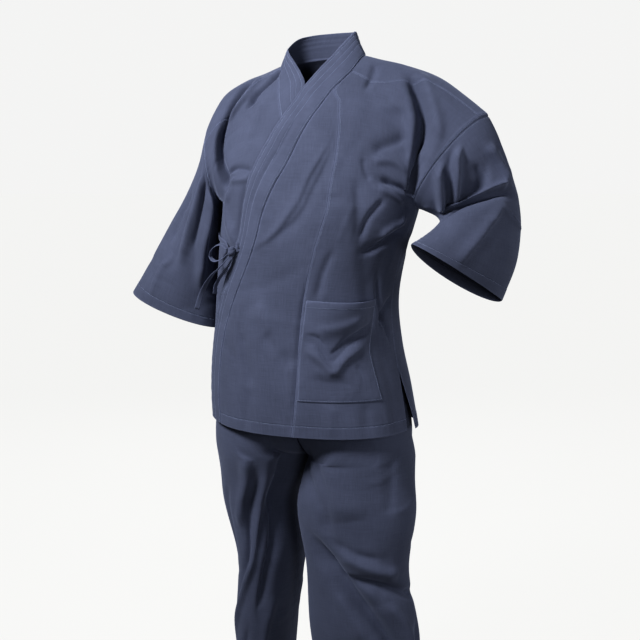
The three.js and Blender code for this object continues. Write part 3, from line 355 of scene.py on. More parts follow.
def add_mesh(name, verts, faces, uv, floats, material):
    """A smooth mesh in metres, with its flat cut as UV map and a named float at each point."""
    mesh = bpy.data.meshes.new(name)
    mesh.from_pydata(verts, [], faces)
    corner = np.empty(len(mesh.loops), int)
    mesh.loops.foreach_get("vertex_index", corner)
    mesh.uv_layers.new(name="cut").data.foreach_set("uv", uv[corner].astype(np.float32).ravel())
    for key, value in floats.items():
        layer = mesh.attributes.new(key, "FLOAT", "POINT")
        layer.data.foreach_set("value", value.astype(np.float32).ravel())
    mesh.shade_smooth()
    mesh.materials.append(material)
    return add_object(name, mesh)

# %% Making a panel
SEWING_LIFT = 0.12
outer_face = {}

def panel(name, points, half, uv, edge, out, material, hem):
    """One closed piece of cloth on a grid of middle points in mm. half is its half thickness, edge
    the distance to its nearest edge, hem the distance that sewn lines are measured by, and out
    roughly the way out."""
    n = grid_normals(points)
    sign = 1.0 if np.median((n*out).sum(-1)) > 0 else -1.0
    n = n*sign
    rows, cols = points.shape[:2]
    count = rows*cols
    index = np.arange(count).reshape(rows, cols)
    quad = np.stack([index[:-1, :-1], index[1:, :-1], index[1:, 1:], index[:-1, 1:]], -1).reshape(-1, 4)
    rim = np.concatenate([index[:, 0], index[-1, 1:], index[-2::-1, -1], index[0, -2::-1]])
    wall = np.stack([rim[:-1], rim[:-1] + count, rim[1:] + count, rim[1:]], -1)
    faces = np.concatenate([quad, quad[:, ::-1] + count, wall])
    if sign < 0:
        faces = faces[:, ::-1]
    verts = np.concatenate([(points + side*n*half[..., None]).reshape(-1, 3) for side in (1, -1)])*MM
    twice = lambda x: np.concatenate([x.reshape(count, -1)]*2)
    made = add_mesh(name, verts, faces.tolist(), twice(uv), {"edge": twice(edge*MM), "hem": twice(hem*MM)},
                    material)
    outer_face[name] = points + n*(half + SEWING_LIFT)[..., None]
    print(name, len(made.data.polygons), "faces")
    return made

# %% Edges, seams and hems
# In mm: the body's length below the armholes, a hem's seam above its edge, and a hem's grid lines.
SKIRT = 455.0
HEM_LINE = 23.5
HEM_ROWS = (0, 0.8, 2, 4, 21.5, 22.8, 23.5, 24.2, 25.5)

def rounded(share, base=0.5):
    """Half thickness that rounds off to an edge, from the share of the way to its full size."""
    return 0.08 + (base - 0.08)*np.sqrt(1 - (1 - np.clip(share, 0, 1))**2)

def hem_half(low):
    """What the hem's second layer adds to a panel's half thickness, at a height above its edge."""
    return 0.42*(1 - step(HEM_LINE, HEM_LINE + 1.2, low))*step(0, 1.5, low)

def cloth_half(edge, low):
    return rounded(edge/2.2) + hem_half(low)

def pucker(distance, along, phase, size=0.45, reach=11):
    """The small uneven waves that a seam's thread draws into the cloth beside it."""
    wave = np.sin(along/3.1 + phase + 1.3*np.sin(along/23 + phase)) + 0.6*np.sin(along/4.9 + 2*phase)
    return size*wave*np.exp(-distance/reach)*step(0, 2.5, distance)*(0.6 + 0.4*np.sin(along/61 + phase))

def hem_pucker(low, along, phase):
    return pucker(np.abs(low - HEM_LINE), along, phase, 0.4, 8)

# %% [markdown]
# ## Cotton, thread and tape
# The cloth is plain woven cotton, matt, with threads a little uneven in thickness and shade. Its
# pattern reads the panel's own flat cut, so the threads bend with each crease. Colour, roughness
# and bump all come from the same threads, and folded edges are worn a little paler.

# %% Shader helpers
def set_inputs(tree, made, inputs):
    """Set a node's inputs by name or number, or join them to the sockets given."""
    for key, value in inputs.items():
        if isinstance(value, bpy.types.NodeSocket):
            tree.links.new(value, made.inputs[key])
        else:
            made.inputs[key].default_value = value

def node(tree, kind, inputs=None, **properties):
    made = tree.nodes.new(kind)
    for key, value in properties.items():
        setattr(made, key, value)
    set_inputs(tree, made, inputs or {})
    return made

def calc(tree, operation, *values):
    return node(tree, "ShaderNodeMath", dict(enumerate(values)), operation=operation).outputs[0]

def weighted(tree, *pairs):
    """The sum of a few values, each times its weight."""
    total, *others = [calc(tree, "MULTIPLY", value, weight) for value, weight in pairs]
    for part in others:
        total = calc(tree, "ADD", total, part)
    return total

def remap(tree, value, low, high, at_low, at_high):
    """The value from low to high, mapped to another range."""
    inputs = {"Value": value, 1: low, 2: high, 3: at_low, 4: at_high}
    return node(tree, "ShaderNodeMapRange", inputs).outputs[0]

def bump(tree, height, strength, distance, more=None):
    inputs = {"Height": height, "Strength": strength, "Distance": distance}
    return node(tree, "ShaderNodeBump", {**inputs, **(more or {})}).outputs[0]

def mapped_noise(tree, vector, scale, size, detail, roughness=0.55):
    """Noise stretched along a direction: scale is a factor for each axis of the vector."""
    mapping = node(tree, "ShaderNodeMapping", {"Vector": vector, "Scale": scale})
    noise = node(tree, "ShaderNodeTexNoise", {
        "Vector": mapping.outputs[0], "Scale": size, "Detail": detail, "Roughness": roughness})
    return noise.outputs["Fac"]

def colour_ramp(tree, value, *stops):
    """Colours by value. The stops are the first, the last and then any between, as (place, colour)."""
    ramp = node(tree, "ShaderNodeValToRGB", {"Fac": value})
    elements = ramp.color_ramp.elements
    for k, (place, colour) in enumerate(stops):
        element = elements[k] if k < 2 else elements.new(place)
        element.position, element.color = place, (*colour, 1)
    return ramp.outputs["Color"]

def new_material(name):
    material = bpy.data.materials.new(name)
    material.use_nodes = True
    return material, material.node_tree, material.node_tree.nodes["Principled BSDF"]

# %% The woven cloth
SLATE = (0.060, 0.069, 0.108)
WEAVE, SLUBS = (1500, 38), (260, 14)

def both_ways(tree, cut, scale, *noise):
    """Streaks of noise along the warp and along the weft."""
    return weighted(tree, (mapped_noise(tree, cut, (*scale, 1), 1, *noise), 0.5),
                    (mapped_noise(tree, cut, (*scale[::-1], 1), 1, *noise), 0.5))

def woven(name, tint=1.0, relief=0.3, hem_line=None):
    material, tree, shader = new_material(name)
    cut = node(tree, "ShaderNodeUVMap", uv_map="cut").outputs[0]
    distance_to = lambda key: node(tree, "ShaderNodeAttribute", attribute_name=key).outputs["Fac"]
    threads, slubs = both_ways(tree, cut, WEAVE, 2), both_ways(tree, cut, SLUBS, 3, 0.7)
    cloud = mapped_noise(tree, cut, (1, 1, 1), 9, 3)
    mixed = weighted(tree, (threads, 0.5), (slubs, 0.22), (cloud, 0.28))
    shade = lambda factor: tuple(c*tint*factor for c in SLATE)
    colour = colour_ramp(tree, mixed, (0.34, shade(0.72)), (0.68, shade(1.32)), (0.5, shade(1)))
    worn = calc(tree, "MULTIPLY", remap(tree, distance_to("edge"), 0, 0.0045, 0.3, 0),
                calc(tree, "MULTIPLY", slubs, 1.7))
    faded = node(tree, "ShaderNodeMix", {"Factor": worn, 6: colour, 7: (*shade(2.3), 1)}, data_type="RGBA")
    relief_height = calc(tree, "ADD", threads, calc(tree, "MULTIPLY", slubs, 1.2))
    normal = bump(tree, relief_height, relief, 0.0004)
    if hem_line:
        gap = calc(tree, "ABSOLUTE", calc(tree, "SUBTRACT", distance_to("hem"), hem_line*MM))
        groove = calc(tree, "SMOOTH_MIN", calc(tree, "MULTIPLY", gap, 400), 1, 0.5)
        normal = bump(tree, groove, 0.8, 0.0012, {"Normal": normal})
    set_inputs(tree, shader, {
        "Base Color": faded.outputs[2], "Roughness": remap(tree, mixed, 0.3, 0.7, 0.96, 0.8),
        "Normal": normal, "Specular IOR Level": 0.25, "Sheen Weight": 0.22, "Sheen Roughness": 0.55,
        "Sheen Tint": (0.55, 0.62, 0.85, 1)})
    return material

cotton = woven("cotton_slate_blue", hem_line=HEM_LINE)
cotton_band = woven("cotton_band", 1.04, 0.35)
cotton_pocket = woven("cotton_pocket", 1.02)
tape_cotton = woven("cotton_tape", 0.98, 0.5)

# %% The sewing thread
def thread_material():
    material, tree, shader = new_material("sewing_thread")
    ply = mapped_noise(tree, node(tree, "ShaderNodeTexCoord").outputs["Object"], (1, 1, 1), 900, 2)
    set_inputs(tree, shader, {
        "Base Color": colour_ramp(tree, ply, (0.35, (0.13, 0.16, 0.24)), (0.65, (0.24, 0.28, 0.40))),
        "Roughness": remap(tree, ply, 0.3, 0.7, 0.7, 0.5), "Normal": bump(tree, ply, 0.4, 0.0002)})
    return material

thread = thread_material()
print("materials:", [m.name for m in bpy.data.materials])

# %% [markdown]
# ## Ties
# The jacket closes with a bow of narrow folded tapes at the right hip. Each tape is swept along a
# few points of its own. A curve with a bevel would do for a round cord, but a tape is flat and
# turns, so its sections are placed here one by one.

# %% A flat tape along a route
TIE_WIDTH, TIE_THICKNESS = 11.0, 2.4

def tape(name, route, wide_start, wide_end, count):
    """A flat folded tape, with rounded edges, along a smooth line through the route's points. It
    can't bend in its own plane, so its width lies across each bend, and turns from wide_start to
    wide_end."""
    line = smooth_line(route, count + 1)
    along = unit(np.gradient(line, axis=0))
    share = np.linspace(0, 1, count + 1)[:, None]
    wide_way = lerp(np.array(wide_start, float), np.array(wide_end, float), share)
    across = unit(wide_way - along*(wide_way*along).sum(-1, keepdims=True))
    face = np.cross(across, along)
    angle = np.linspace(0, 2*np.pi, 17)[:-1]
    wide = np.sign(np.cos(angle))*np.abs(np.cos(angle))**0.55*TIE_WIDTH/2
    deep = np.sin(angle)*TIE_THICKNESS/2*(0.82 + 0.18*np.abs(np.cos(angle)))
    wide_by = 1 - 0.05*np.sin(share*9.0)**2
    rings = (line[:, None] + across[:, None]*(wide*wide_by)[..., None] + face[:, None]*deep[:, None])
    n = len(angle)
    faces = [(k + c, k + (c + 1) % n, k + n + (c + 1) % n, k + n + c)
             for k in range(0, count*n, n) for c in range(n)]
    faces += [tuple(range(n))[::-1], tuple(range(count*n, count*n + n))]
    run = lengths(line[None])[0]
    uv = np.stack(np.broadcast_arrays(wide, run[:, None]), -1).reshape(-1, 2)*MM
    near = np.broadcast_to(TIE_WIDTH/2 - np.abs(wide), (count + 1, n))*MM
    made = add_mesh(name, rings.reshape(-1, 3)*MM, faces, uv, {"edge": near}, tape_cotton)
    print(name, "is", round(float(run[-1])), "mm long")
    return made, (line*MM).tolist(), float(run[-1])*MM

# %% The five tapes of the bow
BOW_LOOP = [(-148.2, -134, -386.7), (-163, -128, -379), (-180, -119, -381), (-195, -112, -391),
            (-197, -113, -405), (-184, -120, -413), (-167, -125, -408), (-149.5, -130.5, -396)]
LONG_TAIL = [(-144.8, -136.7, -401.3), (-163, -139, -422), (-184, -131, -439), (-203, -122, -460),
             (-218, -115, -484), (-230, -111, -514)]
SHORT_TAIL = [(-139.3, -131.6, -403.2), (-153, -126, -424), (-172, -119, -444), (-184, -116, -463),
              (-187, -115, -481)]
ON_FRONT = ((-0.93, 1.15), (-0.8, 1.16), (-0.68, 1.17), (-0.58, 1.18))
side_route = [tuple(body(s, t, 1, 3.4)) for s, t in ON_FRONT]
side_route += [(-155, -116.9, -390.8), (-146.5, -128.4, -390.3)]
edge_start = over(-0.385, 1.165) + np.array([-1, -3.3, 0])
edge_route = [tuple(edge_start), (-127, -128.9, -385), (-132.4, -131.7, -388.4)]
ties = {name: tape(name, *form) for name, *form in (
    ("bow_loop", BOW_LOOP, (0.1, 0.9, 0.35), (-0.05, 0.95, 0.2), 48),
    ("tail_long", LONG_TAIL, (-0.3, 0.95, 0.2), (0.9, 0.25, -0.3), 40),
    ("tail_short", SHORT_TAIL, (-0.2, 0.95, 0.1), (0.5, 0.8, -0.3), 32),
    ("side_strap", side_route, (0, 0, 1), (0, 0.2, 1), 40),
    ("edge_strap", edge_route, (0, 0, 1), (0, 0.2, 1), 8))}

# %% The knot
def knot_form(name, centre, radii, tilt):
    """A drawn knot: a soft lump with the turns of the tape wound round it on the slant."""
    lat, lon = np.meshgrid(np.linspace(0, np.pi, 25), np.linspace(0, 2*np.pi, 41)[:-1], indexing="ij")
    turn = 0.5 + 0.5*np.cos(4.5*lat + 2*lon)
    size = 0.9 + 0.13*turn**0.6 - 0.07*np.exp(-((turn - 0.06)/0.1)**2)
    x = radii[0]*np.sin(lat)*np.cos(lon)*size
    y = radii[1]*np.sin(lat)*np.sin(lon)*size
    z = radii[2]*np.cos(lat)*(0.92 + 0.08*size)
    points = np.stack([x*np.cos(tilt) + z*np.sin(tilt), y, z*np.cos(tilt) - x*np.sin(tilt)], -1) + centre
    verts = np.concatenate([points[1:-1].reshape(-1, 3), points[0, :1], points[-1, :1]])*MM
    top, low, turns = len(verts) - 2, len(verts) - 1, lat.shape[1]
    last = top - turns
    faces = []
    for c in range(turns):
        d = (c + 1) % turns
        faces += [(top, c, d), (low, last + d, last + c)]
        faces += [(k + c, k + turns + c, k + turns + d, k + d) for k in range(0, last, turns)]
    return add_mesh(name, verts, faces, verts[:, [0, 2]], {"edge": np.full(len(verts), 0.004)}, tape_cotton)

knot = knot_form("knot", np.array([-141.0, -134.0, -391.0]), (8, 7, 10.5), 0.35)
for piece in [knot] + [made for made, route, run in ties.values()]:
    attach(piece, "root")
    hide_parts("tie_" + piece.name)
CORDS = [("bow_loop", "object", [knot]), ("tail_long", "bare", []), ("tail_short", "bare", []),
         ("side_strap", "object", [ties["edge_strap"][0]])]
for name, end, on_it in CORDS:
    piece, route, run = ties[name]

# %% [markdown]
# ## The jacket's panels
# A kimono-like jacket is cut from straight strips: two fronts, an overlap sewn to the left front,
# one back, two sleeves and a long band. Each panel is a grid whose lines lie close together at
# its edges, so that the seams, the hems and their stitches can follow the grid's own lines.

# %% Seams between the panels
SHOULDER_LEFT = table("s t", [0.3, 0.24], [0.42, 0.285], [0.52, 0.28], [0.63, 0.21], [0.72, 0.16],
                      [0.85, 0.13], [1, 0.12])
SHOULDER_RIGHT = table("s t", [-1, 0.33], [-0.85, 0.36], [-0.68, 0.37], [-0.58, 0.33], [-0.5, 0.24],
                       [-0.44, 0.14], [-0.38, 0.08], [-0.334, 0.06])
OVERLAP_SEAM = table("t s", [0.356, 0.212], [0.5, 0.236], [0.65, 0.246], [0.79, 0.234], [0.9, 0.208],
                     [1.07, 0.18], [1.22, 0.163], [1.46, 0.132], [1.7, 0.085], [2, 0.015])
NECK_EDGE = table("c x y z",
    [-0.4, -66, -8, 8], [-0.34, -72, 12, 20], [-0.26, -64, 40, 38], [-0.16, -44, 64, 47], [0, 1, 77, 52],
    [0.16, 45, 63, 52], [0.26, 64, 38, 50], [0.34, 66, 11, 46], [0.37, 58, -4, 32], [0.4, 46, -20, 14])
LEFT_TOP, RIGHT_TOP, OVERLAP_TOP = 0.24, 0.06, 0.357
FRONT_SLIT, BACK_SLIT = 0.012, 0.055
SEAM_STEP = 0.006
BEHIND = np.array([0, 40.0, -400])

def left_inner(t):
    seam = at(BAND_LEFT, "t", "seam", t)
    opened = lerp(seam + SEAM_STEP, at(OVERLAP_SEAM, "t", "s", t), step(OVERLAP_TOP, OVERLAP_TOP + 0.12, t))
    return np.where(t < OVERLAP_TOP, seam + SEAM_STEP*step(LEFT_TOP, OVERLAP_TOP, t), opened)

def right_inner(t):
    return at(BAND_RIGHT, "t", "seam", t)

def slit(s, t, amount):
    opened = np.clip((t - 1.72)/0.28, 0, 1)
    return s*(1 - amount*opened*step(0.7, 1, np.abs(s)))

def flat_cut(s, t):
    """Place in the flat cut, in metres, of a point of the body."""
    return np.stack([(s + 1)*0.285, -t*0.42], -1)

def rows_down(chest=72, skirt=84, top_mm=300.0):
    """Shares down a panel: 0 at its top, 1 at the armhole's foot, 2 at the hem."""
    upper = np.concatenate([np.array(EDGE_LINES)/top_mm, np.linspace(4/top_mm, 1, chest + 1)[1:]])
    hem = 2 - np.array(HEM_ROWS)[::-1]/SKIRT
    return np.concatenate([upper, np.linspace(1, hem[0], skirt + 1)[1:-1], hem])

# %% The two fronts
def front_panel(name, side, cols):
    left = side > 0
    inner, shoulder, corner = ((left_inner, SHOULDER_LEFT, LEFT_TOP) if left
                               else (right_inner, SHOULDER_RIGHT, RIGHT_TOP))
    down = rows_down()[None]
    level = np.where(down <= 1, lerp(0.25, 1.0, down), down)
    width = np.abs(side - inner(level[0]))*BODY_SCALE[0]
    share = (spaced(width, cols)/width[:, None]).T
    top_s = lerp(float(inner(np.array(corner))), side, share[:, :1])
    top_t = at(shoulder, "s", "t", top_s)
    top_t[0] = corner
    t = np.where(down <= 1, lerp(top_t, 1, down), down)
    first = (top_s - inner(top_t))/(side - inner(top_t))
    w = lerp(first, share, step(0, 0.4, down/2))
    w[0] = 0
    s = slit(lerp(inner(t), side, w), t, FRONT_SLIT)
    across, outer = w*width, width - w*width
    seam = np.minimum(across, outer)
    top, low = (t - top_t)*BODY_SCALE[1], (2 - t)*SKIRT
    x, y = s*BODY_SCALE[0], t*BODY_SCALE[1]
    wave = pucker(across, y, 1.0) + pucker(top, x, 2.0) + hem_pucker(low, x, 3.0) + pucker(outer, y, 4.0)
    wave = wave*step(0, 4, np.minimum(seam, top))
    points = over(s, t, wave) if left else body(s, t, 1, wave)
    edge = np.minimum(seam, np.minimum(top, low))
    return panel(name, points, cloth_half(edge, low), flat_cut(s, t), edge, points - BEHIND, cotton, low)

left_front = front_panel("left_front_cloth", 1, 88)
right_front = front_panel("right_front_cloth", -1, 108)

# %% The overlap below the band
def overlap_panel(name, cols, chest):
    down = rows_down(chest, top_mm=260.0)
    t = np.where(down <= 1, lerp(OVERLAP_TOP, 1.0, down), down)
    seam, outer = at(BAND_LEFT, "t", "seam", t), left_inner(t)
    width = np.maximum((outer - seam)*BODY_SCALE[0], 1.2)
    left = np.array(EDGE_LINES)[:, None]*np.clip(width/14, 0.05, 1)
    middle = left[-1] + (width - 2*left[-1])*np.linspace(0, 1, cols + 1)[1:-1, None]
    across = np.concatenate([left, middle, (width - left)[::-1]])
    t = t + 0*across
    s = lerp(seam, outer, across/width)
    near = np.minimum(across, width - across)
    low = (2 - t)*SKIRT
    x, y = s*BODY_SCALE[0], t*BODY_SCALE[1]
    wave = pucker(across, y, 5.0) + pucker(width - across, y, 1.0) + hem_pucker(low, x, 3.0)
    points = over(s, t, wave*step(0, 4, near))
    edge = np.minimum(near, low)
    return panel(name, points, cloth_half(edge, low), flat_cut(s, t), edge, points - BEHIND, cotton, low)

left_overlap = overlap_panel("left_overlap_cloth", 40, 62)

# %% [markdown]
# ## The back
# The back is one panel that reaches over both shoulders to the front seams. Down to the neck line
# it covers the shell's front side, and from there on the shell's back. Its lower corners swing
# free at the side slits.

# %% The back panel
SHOULDER_END, CORNER_END = 0.65, 0.72
CORNER_S = 0.365
NECK_TUCK = -0.06

def back_panel(name, cols):
    k = np.concatenate([[0, 0.0025, 0.006, 0.012], np.linspace(0.012, 1, cols//2)[1:]])
    share = np.concatenate([k/2, 1 - k[::-1][1:]/2])
    side = np.where(share <= 0.5, -1.0, 1.0)
    by_side = lambda right, left: np.where(side < 0, right, left)
    u = np.where(share <= 0.5, share, 1 - share)*2
    low = side*(1 - u)
    on_shoulder = np.clip(1 - u/SHOULDER_END, 0, 1)
    start = by_side(right_inner(RIGHT_TOP), at(BAND_LEFT, "t", "seam", LEFT_TOP))
    top_s = lerp(start, side, on_shoulder)
    top_t = by_side(at(SHOULDER_RIGHT, "s", "t", top_s), at(SHOULDER_LEFT, "s", "t", top_s))
    mid_s = side*lerp(CORNER_S, 1.0, on_shoulder)
    b = np.clip((CORNER_END - u)/(CORNER_END - SHOULDER_END), 0, 1)
    in_corner = (u > SHOULDER_END) & (u <= CORNER_END)
    corner_t = by_side(RIGHT_TOP, LEFT_TOP)*b
    corner_s = by_side(right_inner(corner_t), at(BAND_LEFT, "t", "seam", corner_t))
    top_t, top_s = np.where(in_corner, corner_t, top_t), np.where(in_corner, corner_s, top_s)
    mid_s = np.where(in_corner, side*lerp(NECK_SHARE, CORNER_S, b), mid_s)
    neck = u > CORNER_END
    c = side*NECK_SHARE*(1 - (u - CORNER_END)/(1 - CORNER_END))
    top_t = np.where(neck, 0, top_t)[:, None]
    top_s = np.where(neck, c, top_s)[:, None]
    mid_s = np.where(neck, c, mid_s)[:, None]
    yoke = np.concatenate([[0, 0.01, 0.025, 0.05], np.linspace(0.05, 1, 22)[1:-1]])[None]
    front_t, front_s = lerp(top_t, 0.0, yoke), lerp(top_s, mid_s, yoke)
    down = rows_down(top_mm=400.0)[None]
    s = lerp(mid_s, low[:, None], step(0, 0.9, down))
    flare = 9*step(1.72, 2, down)*step(0.75, 1, np.abs(s))
    low_mm = (2 - down)*SKIRT + 0*s
    from_side = (1 - np.abs(low))[:, None]*BODY_SCALE[0]
    side_mm = from_side + 0*s
    wave = pucker(side_mm, down*BODY_SCALE[1], 2.5) + hem_pucker(low_mm, s*BODY_SCALE[0], 3.5)
    behind = body(slit(s, down, BACK_SLIT), np.maximum(down, 0.0001), -1, flare + wave*step(0, 4, side_mm))
    rim = shell(mid_s, 0.0001, -1)
    inward = body(mid_s, 1/13, -1) - rim
    at_neck = neck[:, None, None]
    above = np.where(at_neck, rim + inward*lerp(NECK_TUCK, 0.25, yoke)[..., None],
                     body(front_s, np.maximum(front_t, 0), 1, 0.0))
    first = (down <= 1/13)[..., None]
    eased = rim + inward*np.where(first, 0.25 + 0.75*down[..., None]*13, 1.0)
    points = np.concatenate([above, np.where(at_neck & first, eased, behind)], axis=1)
    reach = np.maximum(top_t*BODY_SCALE[1], 8.0)
    top_mm = np.concatenate([yoke*reach, down*BODY_SCALE[1] + reach], axis=1)
    low_all = np.concatenate([np.full(front_t.shape, 900.0), low_mm], axis=1)
    side_all = np.concatenate([from_side + 0*front_t, side_mm], axis=1)
    edge = np.minimum(np.minimum(top_mm, low_all), side_all)
    run = np.concatenate([front_t*0.4, -down*0.42 + 0*s], axis=1)
    uv = np.stack([(np.concatenate([front_s, s], axis=1) + 1)*0.285, run], -1)
    way = points - np.array([0, 0, -400.0])
    way[..., 2] *= points[..., 2] > -160
    return panel(name, points, cloth_half(edge, low_all), uv, edge, way, cotton, low_all)

jacket_back = back_panel("jacket_back_cloth", 150)

# %% [markdown]
# ## Sleeves
# Each sleeve is a wide tube that hangs from its armhole to a cuff with a doubled hem. The left one
# is bent at the elbow and gathers above it. Their rings come from tables, as the body's do.

# %% Sleeve tables
SLEEVE_COLUMNS = "q ox oy oz ix iy iz fx fy fz bx by bz"
SLEEVE_LEFT = table(SLEEVE_COLUMNS,
    [0, 345, 12, -118, 208, -12, -302, -14, -58, 6, -4, 62, 4],
    [0.2, 374, 20, -180, 232, -4, -312, -10, -56, 4, 0, 60, 2],
    [0.38, 394, 32, -248, 250, 2, -322, -4, -40, -4, 4, 58, 0],
    [0.5, 404, 42, -298, 258, -4, -334, 4, -72, 18, 6, 54, 0],
    [0.62, 407, 50, -342, 256, -26, -341, 8, -74, 14, 6, 50, -2],
    [0.8, 402, 50, -414, 243, -68, -356, 12, -58, 7, -8, 50, -8],
    [1, 376, 38, -490, 229, -110, -370, 15, -40, 6, -30, 50, -20])
SLEEVE_RIGHT = table(SLEEVE_COLUMNS,
    [0, -242, 5, -132, -212, -14, -296, 2, -66, 0, 2, 68, 0],
    [0.2, -260, 6, -200, -221, -8, -330, 4, -70, 2, 0, 72, 2],
    [0.4, -298, 8, -276, -226, -4, -386, 4, -70, 2, 0, 74, 2],
    [0.6, -341, 10, -346, -229, 0, -446, 2, -66, 2, -2, 72, 2],
    [0.8, -389, 13, -420, -231, 5, -506, -2, -62, 1, -4, 68, 1],
    [1, -438, 15, -494, -233, 10, -566, -6, -58, -2, -6, 64, 0])
TUBE_SCALE = np.array([420.0, 520.0])
ARMHOLE_ROLL = 1.5
LEFT_SLEEVE_CREASES = [
    (-22, 8, 12, [(0.03, 0.25), (0.177, 0.205), (0.35, 0.135)]),
    (-18, 7, 10, [(0.06, 0.32), (0.15, 0.285), (0.213, 0.262), (0.36, 0.195)]),
    (6, 6, 6, [(0.04, 0.295), (0.107, 0.275), (0.183, 0.253), (0.35, 0.185)]),
    (8, 9, 7, [(0.22, 0.325), (0.307, 0.32), (0.36, 0.275)]),
    (-12, 14, 9, [(0.17, 0.4), (0.25, 0.42), (0.32, 0.43), (0.4, 0.45)]),
    (11, 9, 9, [(0.523, 0.118), (0.43, 0.21), (0.42, 0.295), (0.42, 0.367), (0.45, 0.455)]),
    (-18, 8, 8, [(0.4, 0.12), (0.37, 0.235), (0.365, 0.323), (0.385, 0.42)]),
    (-17, 26, 9, [(0.32, 0.33), (0.36, 0.375), (0.395, 0.42)]),
    (-5, 5, 8, [(0.513, 0.378), (0.58, 0.415), (0.64, 0.497)]),
    (-7, 6, 12, [(0.513, 0.378), (0.65, 0.302), (0.813, 0.25), (0.96, 0.235)]),
    (-9, 12, 16, [(0.1, 0.7), (0.28, 0.75), (0.45, 0.8)]),
    (6, 12, 10, [(0.14, 0.82), (0.3, 0.86), (0.44, 0.9)]),
    (-7, 9, 14, [(0.5, 0.66), (0.7, 0.7), (0.9, 0.75)]),
    (-5, 7, 9, [(0.42, 0.6), (0.46, 0.7), (0.44, 0.82)]),
    (5, 12, 9, [(0.55, 0.55), (0.72, 0.58), (0.9, 0.6)]),
] + small_creases(11, 22, (0.08, 0.9), (0.06, 0.94), TUBE_SCALE, 1.6)
RIGHT_SLEEVE_CREASES = [
    (-18, 12, 13, [(0.04, 0.155), (0.26, 0.135), (0.47, 0.143), (0.76, 0.133)]),
    (-10, 9, 12, [(0.12, 0.05), (0.343, 0.05), (0.543, 0.07)]),
    (-10, 9, 14, [(0.1, 0.255), (0.293, 0.253), (0.483, 0.255), (0.7, 0.245)]),
    (7, 14, 14, [(0.317, 0.335), (0.487, 0.36), (0.65, 0.33)]),
    (7, 9, 9, [(0.1, 0.2), (0.3, 0.195), (0.56, 0.2)]),
    (-4, 7, 9, [(0.7, 0.3), (0.82, 0.32), (0.95, 0.31)]),
    (-9, 14, 18, [(0.2, 0.72), (0.45, 0.76), (0.7, 0.82)]),
    (-8, 14, 12, [(0.15, 0.9), (0.32, 0.91), (0.5, 0.92)]),
    (6, 12, 12, [(0.1, 0.62), (0.4, 0.65), (0.75, 0.66)]),
    (-5, 8, 12, [(0.55, 0.56), (0.72, 0.58), (0.92, 0.57)]),
] + small_creases(12, 22, (0.08, 0.9), (0.06, 0.94), TUBE_SCALE, 1.6)

def tube(tab, q, turn):
    """Rings from the armhole (q = 0) to the cuff (q = 1). Turn 0 is the seam below the arm."""
    q, turn = np.broadcast_arrays(np.asarray(q, float), np.asarray(turn, float))
    outer, inner, before, behind = (point_at(tab, "q", q, prefix) for prefix in "oifb")
    angle = (turn*2*np.pi)[..., None]
    swing = np.where((turn <= 0.5)[..., None], before, behind)
    return (outer + inner)/2 - (outer - inner)/2*np.cos(angle) + swing*np.abs(np.sin(angle))

# %% The two sleeves
SLEEVE_LONG, SLEEVE_ROUND = 400.0, 470.0

def sleeve_panel(name, tab, creases, sign, cols=128, lengthways=84):
    near_top = np.array([0, 0.8, 2, 3.6, 4.6, 7, 10.4, 11.6])/SLEEVE_LONG
    near_cuff = 1 - np.array(HEM_ROWS)[::-1]/SLEEVE_LONG
    rings = np.concatenate([near_top, np.linspace(near_top[-1], near_cuff[0], lengthways)[1:-1], near_cuff])
    turn, q = np.meshgrid(spaced(SLEEVE_ROUND, cols)[0]/SLEEVE_ROUND, rings, indexing="ij")
    seam = np.minimum(turn, 1 - turn)*SLEEVE_ROUND
    top, low, along = q*SLEEVE_LONG, (1 - q)*SLEEVE_LONG, turn*SLEEVE_ROUND
    fade = step(0.02, 0.12, q)*step(0, 0.04, turn)*step(0, 0.04, 1 - turn)
    sway = 1.6*np.sin(9*turn + 4*q)*np.sin(6*q + 5*turn)
    height = fade*(crease_height(creases, q, turn, TUBE_SCALE) + sway)
    wave = pucker(top, along, 1.5, 0.5, 13) + pucker(seam, top, 2.2) + hem_pucker(low, along, 0.7)
    wave = wave*step(0, 4, np.minimum(seam, top)) + ARMHOLE_ROLL*np.exp(-((top - 7)/3.4)**2)
    n = facing(lambda a, b: tube(tab, a, b), np.clip(q, 0.01, 0.99), np.clip(turn, 0.01, 0.99), sign)
    points = tube(tab, q, turn) + n*(height + wave)[..., None]
    edge = np.minimum(seam, np.minimum(top, low))
    uv = np.stack([turn*0.48, -q*0.41], -1)
    out = points - points.mean(axis=0, keepdims=True)
    return panel(name, points, cloth_half(edge, low), uv, edge, out, cotton, low)

sleeve_left = sleeve_panel("sleeve_left_cloth", SLEEVE_LEFT, LEFT_SLEEVE_CREASES, -1)
sleeve_right = sleeve_panel("sleeve_right_cloth", SLEEVE_RIGHT, RIGHT_SLEEVE_CREASES, 1)

# %% [markdown]
# ## The band
# A band of doubled cloth runs from hem to hem round the neck. It stands up at the neck, rolls
# over and lies flat down the chest. It is one grid: stations along its seam, and lines across
# it at its edge, its rows of stitches and its seam.

# %% The band, from the left hem round the neck to the right hem
BAND_LONG, BAND_WIDE = 2050.0, 55.0
BAND_LINES = (0, 1.2, 3, 3.8, 6)
BAND_EDGE_LINES = (0, 1.2, 3, 5, 7, 9)
SEWN_ROWS = (3.0, 27.0, 38.0, 48.0)
BAND_CREASES = [
    (-2.2, 2.5, 4, [(0.2, 0.62), (0.24, 0.5), (0.27, 0.42), (0.3, 0.4)]),
    (1.5, 5, 4, [(0.2, 0.8), (0.25, 0.72), (0.3, 0.7)]),
]

def neck_edge(c):
    return point_at(NECK_EDGE, "c", c)

